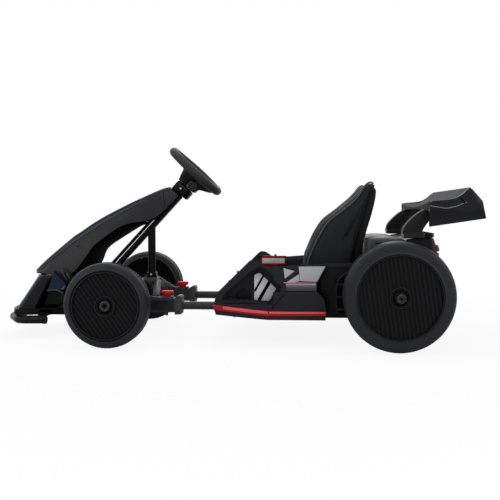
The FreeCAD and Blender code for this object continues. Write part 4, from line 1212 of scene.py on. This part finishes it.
softCopies = [
    # node, piece, body, finish, edge in mm
    ("front_axle_beam", "axleBeamForged", "front_section", "frameBlack", 1.6),
    ("knuckle_left", "knuckleForged_left", "knuckle_left", "castGrey", 0.9),
    ("knuckle_right", "knuckleForged_right", "knuckle_right", "castGrey", 0.9),
    ("track_rod", "trackRodBar", "track_rod", "tubeBlack", 0.7),
    ("front_rails", "frontRailsWelded", "front_section", "frameBlack", 1.5),
    ("foot_pedals", "footPedalPlates", "front_section", "frameBlack", 1.4),
    ("floor_pan", "floorPanTray", "chassis", "frameBlack", 1.5),
    ("battery", "batteryCase", "chassis", "batteryGrey", 3.0),
]


def addSoftCopies(rows):
    for node, name, body, finish, edge in rows:
        piece = Piece(name)
        piece.copied(node, finish, edge)
        if node == "foot_pedals":
            for y in (66, -66):
                for step in range(5):
                    low = 100 + step * 13
                    x = 436 + (low - 92) * 0.41
                    tread = [(x - 2.5, low), (x - 4.6, low + 1), (x - 3, low + 6), (x - 1, low + 5)]
                    piece.slab(tread, y - 14, y + 14, "capGrey", 0.5)
        if node == "battery":
            for x in (-210, -110):
                piece.block(x - 9, x + 9, -81.2, 81.2, 79.9, 131.2, "shadowBlack", 1.0)
            piece.block(-190, -130, -30, 30, 130, 131.4, "panelGrey", 0.4)
        if node == "front_axle_beam":
            for side in (1, -1):
                piece.lathe([(0, 0), (8.5, 0), (8.5, 4), (6.5, 5.4), (0, 5.4)], (306, side * 228, 149.6),
                            "capGrey", axis=(0, 0, 1), sides=6)
        piece.settle(body, slotOf[node], node, keepAngle=30)


addSoftCopies(softCopies)

driveValues = {"x": -464, "z": 144, "y": 228, "fins": 5, "finStep": 6, "bolts": 6, "boltRing": 43}


def addRearDrives(v):
    # gearboxes beside the rear wheels: a drum with cooling fins, bolts and the axle stub
    piece = Piece("rearDriveGearboxes")
    piece.copied("rear_drives", "castGrey", 1.2)
    for side in (1, -1):
        for index in range(v["fins"]):
            y = side * (v["y"] + 4 + index * v["finStep"])
            piece.lathe([(51, 0), (53.2, 0.4), (53.2, 1.8), (51, 2.2)], (v["x"], y, v["z"]), "frameBlack",
                        axis=(0, side, 0), sides=64)
        for turn in turns(v["bolts"]):
            out, up = v["boltRing"] * math.cos(turn + 0.3), v["boltRing"] * math.sin(turn + 0.3)
            spot = (v["x"] + out, side * (v["y"] + 33.8), v["z"] + up)
            piece.lathe(ringProfile(0, 3.6, 0, 2.4), spot, "capGrey", axis=(0, side, 0), sides=6)
    piece.settle("chassis", slotOf["rear_drives"], "rear_drives", keepAngle=30)


addRearDrives(driveValues)
print("kart: frame castings, sockets and running gear")

# Side pods: sill, leaning flank with a convex shoulder, a deep recess with a V rib, and the graphics

podValues = {
    "inner": 164.5, "sill": 268, "flank": 233,
    "outline": [
        (25, 110), (17, 88), (-74, 79), (-121, 75), (-276, 75), (-277, 104), (-272, 131), (-251, 152),
        (-251, 170), (-277, 213), (-283, 224), (-261, 223.5), (-210, 220.5), (-165, 216.8), (-125, 216.5),
        (-110, 220), (-99, 228), (-90, 233), (-78, 234), (-70, 230), (13, 148), (22, 128),
    ],
    # height and distance out, along the flank behind the recess
    "shoulder": [(75, 268.2), (143, 268.2), (146, 267), (149, 263), (153, 258), (158, 253), (164, 249.5),
                 (172, 246.5), (224, 233)],
    "recess": [(6, 124), (-4, 146), (-63, 196), (-80, 210), (-92, 213), (-104, 208), (-154, 167),
               (-160, 160), (-142, 128), (-128, 116)],
    "rib": [(-88, 213), (-100, 215), (-113, 208), (-171, 158), (-166, 150), (-131, 101), (-118, 112),
            (-147, 153), (-100, 199)],
}


def flankY(z):
    # how far out the flank stands at a height
    table = podValues["shoulder"]
    for (lowZ, lowY), (highZ, highY) in zip(table, table[1:]):
        if z <= highZ:
            return lowY + (highY - lowY) * (z - lowZ) / (highZ - lowZ)
    return podValues["flank"]


def flankPlate(piece, outline, finish, proud=0.8):
    # a thin plate that lies on the leaning flank
    outer = [(x, flankY(z) + proud, z) for x, z in outline]
    inner = [(x, flankY(z) - 1, z) for x, z in outline]
    piece.loft([inner, outer], finish, 0.25)


def flankBand(piece, ends, heights, finish, proud=0.7):
    # a strip along the flank that follows its shoulder
    rings = []
    for lean in (0, 1):
        outer = [(ends[lean] - (171 - z) * (0.05 if lean else 0.1), flankY(z) + proud, z) for z in heights]
        inner = [(x, y - proud - 0.8, z) for x, y, z in outer]
        rings.append(outer + inner[::-1])
    piece.loft(rings, finish, 0.2)


def addPods(v):
    base = Piece("podSkin_left")
    # the top falls towards the seat, so that the flank's upper edge is what shows
    low = [(x, z - 8 if z > 200 else z) for x, z in v["outline"]]
    walls = ((v["inner"], low), (229, v["outline"]), (v["sill"], v["outline"]))
    base.loft([[(x, y, z) for x, z in outline] for y, outline in walls], "podBlack")
    cutters = []
    above = [(v["flank"] - 6, 241), (320, 241)]
    for lean, ends in (
        ([(y, z) for z, y in v["shoulder"]] + above + [(320, 143)], (-300, -136)),
        ([(v["sill"] + 1, 112), (247, 119), (v["flank"] + 3, 226)] + above + [(320, 112)], (-136.2, 40)),
    ):
        wedge = Piece("wedge")
        wedge.loft([[(x, y, z) for y, z in lean] for x in ends], "podBlack")
        cutters.append(wedge)
    # the opening's front and upper walls slope inwards
    recess = Piece("recess")
    midX, midZ = -85, 150
    recess.loft([[(midX + (x - midX) * grow, y, midZ + (z - midZ) * grow) for x, z in v["recess"]]
                 for y, grow in ((216, 0.84), (262, 1.05))], "frameBlack")
    cutters.append(recess)
    made = cutBy(base.build(), cutters)
    weld = made.modifiers.new("weld", "WELD")
    weld.merge_threshold = 0.0002
    edge = made.modifiers.new("edge", "BEVEL")
    edge.width, edge.segments, edge.limit_method, edge.angle_limit = 0.0013, 2, "ANGLE", math.radians(38)
    applied(made)
    piece = Piece("podSkin_left")
    piece.used = [slot.material.name for slot in made.material_slots]
    piece.mesh.from_mesh(made.data)
    bpy.data.objects.remove(made)
    piece.slab(v["rib"], 222, 243, "frameBlack", 2.2)
    # striped inner panel, with slanted slots, and the dark castings ahead of it
    piece.slab([(-83, 121), (-83, 191), (-92, 196.5), (-112, 196.5), (-141, 161), (-145, 144),
                (-134, 119)], 212, 218, "panelWhite", 0.6)
    for (x0, z0), (x1, z1), wide in (((-111, 195), (-84, 147), 2.4), ((-128, 179), (-95, 121), 4.2),
                                     ((-144, 151), (-128, 121), 2.6)):
        piece.slab([(x0 + wide, z0 + 1.5), (x0 - wide, z0 - 1.5), (x1 - wide, z1 - 1.5),
                    (x1 + wide, z1 + 1.5)],
                   216, 219.2, "shadowBlack", 0.2)
    piece.slab([(-34, 122), (-32, 138), (-44, 152), (-58, 156), (-68, 146), (-76, 122)], 212, 219,
               "frameBlack", 3)
    piece.slab([(-4, 120), (-8, 132), (-24, 133), (-28, 120)], 212, 230, "frameBlack", 2)
    piece.slab([(4, 118), (2, 122), (-80, 126), (-120, 114), (-122, 108), (-74, 119)], 222, 256,
               "podBlack", 1.2)
    # flank graphics, and a painted highlight on the shoulder below them, where it catches the light
    for outline in ([(-204, 216), (-276, 217), (-253, 176), (-208, 178)],
                    [(-163, 212), (-193, 204), (-167, 184)],
                    [(-171, 174), (-205, 196), (-207, 178), (-196, 174.5)]):
        flankPlate(piece, outline, "panelGrey")
    flankPlate(piece, [(-163, 174.2), (-251, 173.8), (-251, 172.2), (-165, 172.4)], "pinkTrim")
    flankBand(piece, (-170, -251), (152.5, 155, 158, 161, 164.5, 168, 171), "shoulderFade")
    # seams of the lower panel, along its top and down its slanting front edge
    for outline in ([(-169, 152), (-251, 152), (-251, 150.4), (-169, 150.4)],
                    [(-171, 152), (-168.6, 152), (-164, 143.4), (-166.4, 143.4)],
                    [(-166.4, 143.4), (-164, 143.4), (-129, 103), (-131.4, 103)]):
        flankPlate(piece, outline, "shadowBlack", 0.4)
    # cheek beside the seat, behind the flank, with its ledge
    piece.block(-400, -262, v["inner"], 226, 76.5, 214, "frameBlack", 2)
    piece.block(-356, -270, v["inner"], 231, 213, 222.5, "podBlack", 2)
    right = piece.mirror()
    # two nubs on the near pod's front slope
    for x, z, finish in ((-10.5, 175, "frameBlack"), (-33.7, 201, "armGrey")):
        piece.slab([(x + 1, z - 3.4), (x - 6.4, z - 11), (x - 10.6, z - 6.4), (x - 3.4, z + 0.2),
                    (x - 0.6, z - 0.4)],
                   193, 201, finish, 0.6)
    piece.settle("chassis", "body_satin", "pod_left", keepAngle=30)
    right.settle("chassis", "body_satin", "pod_right", name="podSkin_right", keepAngle=30)


addPods(podValues)

stripeValues = {"face": 271, "outline": [(25, 114.5), (20, 101), (-74, 90), (-122, 85.5), (-277, 88),
                                         (-277, 98.5), (-122, 99.5), (-60, 106)]}


def addStripes(v):
    piece = Piece("sillStripeTrim")
    piece.bothSlabs(v["outline"], 266, v["face"] - 0.6, "redPlastic", 1.2)
    pale = [(-2, 111), (-2, 103.5), (-74, 95), (-122, 91.5), (-122, 98), (-60, 104.5)]
    piece.bothSlabs(pale, v["face"] - 1.4, v["face"], "redPale", 0.3)
    piece.bothSlabs([(-126, 97.6), (-126, 92), (-275, 93.6), (-275, 97.4)], v["face"] - 1.4, v["face"],
                    "redPale", 0.3)
    piece.settle("chassis", "red_plastic", "sill_stripes")


addStripes(stripeValues)

panelValues = {"y": -164.5}


def addControlPanel(v):
    # red frame with a nub and a tab, and a pale face, on the inner face of the right pod
    y = v["y"]
    frameRing = Piece("controlFrame")
    for a, b, c, d in ((-161, -79, 215.5, 223), (-161, -79, 193, 199), (-161, -155.5, 193, 223),
                       (-84.5, -79, 193, 223)):
        frameRing.block(a, b, y, y + 6, c, d, "redPlastic", 0.8)
    frameRing.slab([(-131, 221), (-123, 221), (-124, 228), (-130, 228)], y + 1, y + 5, "redPlastic", 1)
    frameRing.slab([(-134, 196), (-117, 196), (-120, 189), (-131, 189)], y + 1, y + 6.5, "redPlastic", 1)
    frameRing.settle("chassis", "red_plastic", "control_frame")
    face = Piece("controlFace")
    face.block(-155.5, -84.5, y, y + 5, 199, 215.5, "panelWhite", 0.5)
    face.slab([(-140, 206), (-106, 206), (-106, 207.6), (-140, 207.6)], y + 4, y + 5.4, "panelGrey", 0.2)
    face.settle("chassis", "panel_grey", "control_face")


addControlPanel(panelValues)
print("kart: side pods")

# Rear body, deck, grilles and tail lamp

deckValues = {
    "front": [(-402, 222.5), (-402, 274), (-405, 285), (-413, 291), (-435, 294), (-457, 293.5),
              (-478, 292), (-489, 287), (-496, 278), (-497, 222.5)],
    "tail": [(-487, 222.5), (-487, 284), (-496, 290), (-520, 293), (-550, 297), (-566, 298), (-575, 295),
             (-581, 288), (-583, 282), (-585, 273), (-589, 258), (-590, 222.5)],
    "body": [(-400.3, 76.5), (-400.3, 222), (-560, 222), (-584, 210), (-592, 150), (-580, 96), (-562, 76.5)],
    # half width, inset of the outline, how far back the tail reaches and how far forward the front
    "rows": [(226, 8, -560, 15), (224.5, 4, -562, 15), (221, 1, -565, 15.5), (216, 0, -568, 16),
             (208, 0, -570, 16),
             (166, 0, -582, 16), (150, 0, -584, 0), (106, 0, -590, 0), (0, 0, -590, 0)],
    "bodyRows": [(228, 3, -568, 0), (226, 1, -569, 0), (222, 0, -570, 0), (168, 0, -590, 0),
                 (110, 0, -592, 0), (0, 0, -592, 0)],
    # the lip round the deck's rear edge, in plan
    "lip": [(-545, 207), (-562, 200), (-572, 165), (-577, 100), (-578.5, 0)],
}


def middleOf(outline):
    return (sum(x for x, z in outline) / len(outline), sum(z for x, z in outline) / len(outline))


def taperedShell(piece, outline, rows, turnX, low, finish):
    # a side outline across the kart, drawn in at its ends, with its tail tapered in plan
    middle = middleOf(outline)
    tail = min(x for x, z in outline)
    front = max(x for x, z in outline)
    half = []
    for y, inset, limit, forward in rows:
        ring = []
        for (x, z), (first, height) in zip(shrunk(outline, inset, middle), outline):
            if first < turnX:
                x = turnX + (x - turnX) * (turnX - limit) / (turnX - tail)
            if first > front - 12:
                x += forward
            ring.append((x, y, z if height > low + 0.1 else height))
        half.append(ring)
    rings = [[(x, -y, z) for x, y, z in ring] for ring in half] + half[::-1][1:]
    piece.loft(rings, finish, 0, softAngle=40)


def shrunk(outline, by, middle):
    # the outline drawn in towards its middle by a length
    run = []
    for x, z in outline:
        dx, dz = x - middle[0], z - middle[1]
        reach = math.hypot(dx, dz)
        run.append((x - dx / reach * by, z - dz / reach * by))
    return run


def pillow(piece, outline, half, r, finish):
    # an (x, z) outline across the kart with its two ends rounded by r
    steps = 5
    ends = []
    for index in range(steps + 1):
        turn = math.radians(90 * index / steps)
        ends.append((half - r + r * math.cos(turn), r * (1 - math.sin(turn))))
    run = [(-y, by) for y, by in ends] + ends[::-1]
    piece.loft([[(x, y, z) for x, z in shrunk(outline, by, middleOf(outline))] for y, by in run], finish)


def addDeck(v):
    piece = Piece("deckShell")
    taperedShell(piece, v["front"], v["rows"], -900, 222.5, "deckGrey")
    tailRows = [(y - 2, inset, limit, 0) for y, inset, limit, forward in v["rows"][:-1]] + [(0, 0, -590, 0)]
    taperedShell(piece, v["tail"], tailRows, -540, 222.5, "frameBlack")
    half = smoothRun(v["lip"], 4)
    piece.loft([[(x + dx, y, z) for dx, z in ((-2.2, 295), (2.2, 295), (2.2, 304), (-2.2, 304))]
                for x, y in half + [(x, -y) for x, y in half[::-1][1:]]], "frameBlack")
    piece.bothSlabs([(-409, 277), (-409, 281), (-436, 280), (-436, 276)], 223.5, 226.4, "shadowBlack", 0.4)
    # corner panels of the tail
    corner = [(-561, 292), (-567, 291), (-572, 276), (-577, 252), (-577, 226), (-552, 226), (-548, 262)]
    piece.bothSlabs(corner, 196, 206, "castGrey", 1.2)
    # dark tail panel under the lamp
    piece.slab([(-586, 250), (-590.4, 249), (-590.6, 226), (-586, 226)], -150, 150, "frameBlack", 1.0)
    piece.settle("chassis", "deck_grey", "rear_deck", keepAngle=34)
    body = Piece("rearBodyShell")
    taperedShell(body, v["body"], v["bodyRows"], -550, 60, "bodySatin")
    for index in range(5):
        z = 112 + index * 15
        depth = 591.5 - abs(150 - z) * 0.22
        body.block(-depth - 0.6, -depth + 8, -104, 104, z, z + 7, "shadowBlack", 2)
    body.settle("chassis", "body_satin", "rear_body")


addDeck(deckValues)

grilleValues = {"bars": 3, "barStep": 34}


def addGrilles(v):
    piece = Piece("sideGrilleBars")
    path = [(-305.5, 231, 90), (-305.5, 231, 150), (-307, 231, 168), (-314, 231, 184), (-328, 231, 196),
            (-342, 231, 203)]
    piece.tube(smoothRun(path, 4), 2.9, "armDark", sides=12)
    piece.block(-343, -338, 228, 233.5, 89, 203, "frameBlack", 1)
    piece.block(-343, -303, 227.9, 229.2, 90, 184, "shadowBlack", 0)
    sizes = {"Count": v["bars"], "Step Z": v["barStep"] / 1000, "Size X": 0.034, "Size Y": 0.005,
             "Size Z": 0.005}
    bars = barRow.grow(sizes, "armDark", turn=Matrix.Translation((-0.3235, 0.231, 0.100)))
    takeGrowth(piece, bars, "armDark", 0.8)
    piece.both().settle("chassis", slotOf["side_grilles"], "side_grilles")


addGrilles(grilleValues)

lampValues = {"half": 128}


def addTailLamp(v):
    piece = Piece("tailLampLens")
    outline = [(-585, 268), (-588.6, 271), (-592, 270), (-595, 264), (-596, 254), (-590.3, 252), (-588, 258)]
    pillow(piece, outline, v["half"], 3, "lampRed")
    piece.settle("chassis", "red_plastic", "tail_lamp")


addTailLamp(lampValues)

# Wing: curved legs on foot plates, a thin blade that sweeps up into a flap, and end plates

wingValues = {
    "legY": (200, 224), "endY": (293, 305), "bladeHalf": 293, "skin": 4.5, "arch": 12,
    "top": [(-539, 386), (-541, 391), (-556, 391.5), (-575, 391), (-595, 393), (-614, 401), (-628, 412),
            (-641, 425), (-646, 425), (-660, 408), (-673, 392)],
    "legFront": [(-481, 299), (-482.5, 314), (-490, 329), (-513, 352.5), (-534, 367), (-552, 376)],
    "legRear": [(-585, 378), (-566, 362), (-553, 341), (-542, 326), (-533.5, 310), (-533, 299.5)],
    "plate": [(-540, 325), (-540, 379), (-541, 389), (-547, 392)],
    "plateTop": [(-557, 393), (-574, 394), (-591, 396), (-608, 400.5), (-622, 409)],
    # the line of the painted highlight along each end plate's crease
    "crease": [(-542, 379), (-562, 376), (-579, 373), (-595, 375), (-612, 379.5), (-625, 385.4), (-633, 388)],
}


def addWing(v):
    blade = Piece("wingBladeShell")
    top = smoothRun(v["top"], 3)
    rings = []
    for step in range(-8, 9):
        y = v["bladeHalf"] * step / 8
        # the blade's front part and its lip hang lower towards the middle
        hang = v["arch"] * (1 - (step / 8) ** 2)
        over = [(x, z - hang * min(1, max(0, (x + 622) / 40))) for x, z in top]
        under = [(x + (0.6 if x < -641 else 0), z - v["skin"]) for x, z in over]
        under[-1] = (-668, 388)
        lip = [(-545, over[2][1] - 6), (-545, 371 - 5 * (step / 8) ** 2), (-540, 371 - 5 * (step / 8) ** 2)]
        rings.append([(x, y, z) for x, z in over + under[:3:-1] + lip])
    blade.loft(rings, "wingTop", 0, softAngle=35)
    # underside ribs and the closing wall under the flap
    blade.slab([(-668, 376), (-664, 376), (-660, 402), (-668, 392)], -v["bladeHalf"], v["bladeHalf"],
               "frameBlack", 0.5)
    for y in (-150, 0, 150):
        rib = [(-548, 372), (-664, 376), (-664, 398), (-640, 416), (-614, 392), (-590, 377), (-548, 374)]
        blade.slab(rib, y - 3, y + 3, "frameBlack", 0.6)
    blade.settle("chassis", "body_gloss", "wing_blade", keepAngle=30)
    legs = Piece("wingLegStruts")
    front, rear = smoothRun(v["legFront"], 4), smoothRun(v["legRear"], 4)
    y0, y1 = v["legY"]
    for side in (1, -1):
        near, far = sorted((side * y0, side * y1))
        legs.slab(front + rear, near, far, "wingLeg", 2.0, softAngle=40)
        # painted highlights along the front edges of each leg
        for y in (near + 1.6, far - 1.6):
            legs.tube([(x + 0.8, y, z + 0.3) for x, z in front], 1.0, "edgeGrey", sides=10)
        # foot block, with a painted highlight along its front edge
        legs.slab([(-483, 293), (-483, 306), (-537, 306.5), (-538, 293)], near - 3, far + 1.5,
                  "bodySatin", 1.2)
        legs.block(-484, -480.6, near - 2, far + 1.8, 293.5, 305, "edgeGrey", 0.8)
    legs.settle("chassis", "frame_black", "wing_legs")
    plates = Piece("wingEndPlates")
    outline = v["plate"] + smoothRun(v["plateTop"], 4) + [(-634, 420), (-641, 424.8), (-647, 423),
                                                          (-674.5, 391.5), (-684, 346.5)]
    e0, e1 = v["endY"]
    plates.slab(outline, e0, e1, "bodyGloss", 2.4, softAngle=24, rounds=3)
    # a painted highlight along each end plate's crease, and painted shade in the slit behind it
    plates.tube([(x, e1 - 0.5, z) for x, z in smoothRun(v["crease"], 5)], 0.9, "edgeGrey", sides=10)
    plates.slab([(-617.5, 399), (-621.5, 399.5), (-631, 387), (-626.5, 385)], e1 - 8, e1 + 0.4,
                "shadowBlack", 0.4)
    plates.both().settle("chassis", "body_gloss", "wing_end_plates", keepAngle=30)


addWing(wingValues)
print("kart: deck and wing")

# Seat: a hard shell, and padding swollen by a cloth step

seatValues = {
    "half": 162, "shellHalf": 142,
    "front": [(-225, 188), (-231, 228), (-237, 244), (-246, 265), (-256, 287), (-266, 305), (-279, 326),
              (-292, 340.5),
              (-308, 354), (-322, 364.5), (-341, 380), (-359, 396), (-374, 416), (-387, 436), (-400, 445)],
    "rear": [(-412, 440), (-412, 431), (-403, 429), (-391, 396), (-367, 299), (-352, 232), (-338, 190)],
    "pressure": 4.0, "voxel": 0.005, "cap": 0.005, "quality": 4, "frames": 20, "channel": (5.5, 3.0),
    "held": 0.9,  # the share of any inward movement that is taken back
}


def addSeatShell(v):
    piece = Piece("seatShellBack")
    front = smoothRun([(-336, 134), (-352, 232), (-367, 299), (-391, 396), (-404, 430)], 4)
    rear = smoothRun([(-418, 424), (-415, 396), (-405, 354), (-389, 299), (-373, 225), (-362, 134)], 4)
    piece.slab(front + [(-411, 432.5)] + rear, -v["shellHalf"], v["shellHalf"], "seatHard", 4.0, softAngle=40)
    piece.slab([(-20, 150), (-20, 158), (-200, 142), (-345, 142), (-345, 134), (-200, 134)], -150, 150,
               "seatHard", 2.0)
    piece.block(-410, -396, -62, -40, 340, 388, "shadowBlack", 2)
    piece.settle("chassis", "seat_hard", "seat_shell")


addSeatShell(seatValues)


def padRing(v, y, forward, inward):
    # one side outline of the back pad, its front pushed forward and the whole drawn in at the ends
    front = []
    for x, z in smoothRun(v["front"], 3):
        share = min(1, max(0, (450 - z) / 60))
        front.append((x + forward * share * 0.97, z + forward * share * 0.25))
    return [(x, y, z) for x, z in shrunk(front + v["rear"], inward, (-345, 320))]


def swollen(made, v):
    # voxel remesh, then cloth under pressure; the movement is capped, and little of it goes inwards
    grid = made.modifiers.new("grid", "REMESH")
    grid.mode, grid.voxel_size = "VOXEL", v["voxel"]
    applied(made)
    rest = [(corner.co.copy(), corner.normal.copy()) for corner in made.data.vertices]
    cloth = made.modifiers.new("cloth", "CLOTH")
    settings = cloth.settings
    settings.quality = v["quality"]
    settings.use_pressure = True
    settings.uniform_pressure_force = v["pressure"]
    settings.effector_weights.gravity = 0
    cloth.collision_settings.use_collision = False
    scene = bpy.context.scene
    cloth.point_cache.frame_start, cloth.point_cache.frame_end = 1, v["frames"]
    for number in range(1, v["frames"] + 1):
        scene.frame_set(number)
    applied(made)
    scene.frame_set(1)
    for corner, (start, normal) in zip(made.data.vertices, rest):
        step = corner.co - start
        step -= normal * min(0, step.dot(normal)) * v["held"]
        corner.co = start + step * min(1, v["cap"] / max(step.length, 1e-6))


def groove(made, lines, channel):
    # sewn channels: each line tells how far a point in mm is from it, and near points sink into the pad
    width, depth = channel
    normals = [corner.normal.copy() for corner in made.data.vertices]
    for corner, normal in zip(made.data.vertices, normals):
        for line in lines:
            apart = line(corner.co * 1000)
            if apart < width:
                corner.co -= normal * depth / 1000 * (0.5 + 0.5 * math.cos(math.pi * apart / width))


def smoothed(made):
    step = made.modifiers.new("smooth", "SUBSURF")
    step.levels = step.render_levels = 1
    applied(made)
    for face in made.data.polygons:
        face.use_smooth = True


def settlePad(piece, v, lines, node):
    # swells the padding, sews the channels in along the lines and sets it on the chassis
    made = piece.build()
    swollen(made, v)
    groove(made, lines, v["channel"])
    smoothed(made)
    place(made, "chassis", "seat_soft", node)
    return made


def addSeatPads(v):
    piece = Piece("seatBackPadding")
    half = v["half"]
    stations = [(half - 1, 0, 9), (half - 4, 3, 4), (half - 12, 10, 1), (half - 28, 15, 0), (half - 50, 7, 0),
                (half - 68, -22, 0), (half - 84, -40, 0), (40, -46, 0), (0, -44, 0)]
    run = [(-y, forward, inward) for y, forward, inward in stations] + stations[::-1][1:]
    piece.loft([padRing(v, y, forward, inward) for y, forward, inward in run], "seatSoft")
    lines = [lambda p: abs(abs(p.y) - 92) if p.x > -395 else 99,
             lambda p: abs((p.z - 250) % 46 - 23) if abs(p.y) < 90 and p.z > 215 else 99]
    made = settlePad(piece, v, lines, "seat_back_pad")
    squab = Piece("seatSquabPadding")
    side = smoothRun([(-40, 160), (-35, 168), (-36, 178), (-50, 186.5), (-86, 187), (-140, 183),
                      (-206, 180), (-224, 174)], 3)
    low = [(-326, 146), (-326, 143.5), (-200, 144), (-120, 149)]
    rings = []
    for y, inward in ((146, 10), (143, 4), (134, 0.5), (110, 0), (60, -2), (0, -3)):
        rings.append([(x - (x + 160) * inward / 220, y, z - (z - 160) * inward / 40) for x, z in side + low])
    squab.loft([[(x, -y, z) for x, y, z in ring] for ring in rings] + rings[::-1][1:], "seatSoft")
    lines = [lambda p: abs(abs(p.y) - 88) if p.z > 160 else 99,
             lambda p: abs((p.x + 40) % 44 - 22) if abs(p.y) < 86 and p.z > 165 else 99]
    made = settlePad(squab, v, lines, "seat_squab_pad")
    piping = Piece("seatPiping")
    for side in (1, -1):
        edge = smoothRun(v["front"] + [(-410, 441)], 4)
        piping.tube([(x + 1.5, side * (half + 1.5), z) for x, z in edge], 2.4, "pipingGrey", sides=10)
        seam = smoothRun([(-391, 400), (-376, 340), (-360, 290), (-345, 240), (-338, 205)], 4)
        piping.tube([(x, side * (half + 0.6), z) for x, z in seam], 1.3, "seatHard", sides=8)
    piping.settle("chassis", "seat_soft")


addSeatPads(seatValues)
print("kart: seat")


# Floor and backdrop: white to the camera and to glossy rays; the floor keeps the kart's shadow

# the share of plain white in the floor that the camera sees close to the kart, where it starts to rise
# and where it is full, and half the sheet's side in metres
stageValues = {"white": 0.9, "near": 0.75, "far": 1.5, "reach": 9}


def addStage(v):
    mesh = bpy.data.meshes.new("floorSheet")
    corners = [(x * v["reach"], y * v["reach"], 0) for x, y in ((-1, -1), (1, -1), (1, 1), (-1, 1))]
    mesh.from_pydata(corners, [], [(0, 1, 2, 3)])
    floor = bpy.data.objects.new("floorSheet", mesh)
    bpy.context.collection.objects.link(floor)
    finish = Finish("floorWhite")
    finish.set(colour=(0.9, 0.9, 0.9), roughness=0.9)
    seen = finish.node("ShaderNodeLightPath")
    plain = finish.node("ShaderNodeEmission", None, {"Strength": 1.0})
    away = finish.node("ShaderNodeVectorMath", {"operation": "LENGTH"}, {0: finish.place}, "Value")
    white = away.maths("SUBTRACT", v["near"]) * (1 / (v["far"] - v["near"]))
    white = white.maths("MINIMUM", 1.0).maths("MAXIMUM", 0.0) * (1 - v["white"]) + v["white"]
    lit = Tap(finish.tree, finish.shader.outputs[0])
    mixed = finish.node("ShaderNodeMixShader", None, {0: seen * white, 1: lit, 2: plain})
    finish.tree.links.new(mixed.socket, finish.output.inputs["Surface"])
    mesh.materials.append(finish.material)
    world = bpy.data.worlds.new("studio")
    bpy.context.scene.world = world
    world.use_nodes = True
    tree = world.node_tree
    tree.nodes.clear()
    output = tree.nodes.new("ShaderNodeOutputWorld")
    rays = tree.nodes.new("ShaderNodeLightPath")
    kinds = ("Camera", "Glossy", "Transmission")
    camera, glossy, through = [Tap(tree, rays.outputs[f"Is {kind} Ray"]) for kind in kinds]
    white = camera.maths("MAXIMUM", glossy).maths("MAXIMUM", through)
    base = lightValues["world"]
    level = white * (1 - base) + base
    background = tree.nodes.new("ShaderNodeBackground")
    background.inputs["Color"].default_value = (1, 1, 1, 1)
    tree.links.new(level.socket, background.inputs["Strength"])
    tree.links.new(background.outputs[0], output.inputs["Surface"])
    bpy.context.scene.view_settings.view_transform = "Standard"


addStage(stageValues)
print("kart: stage set")
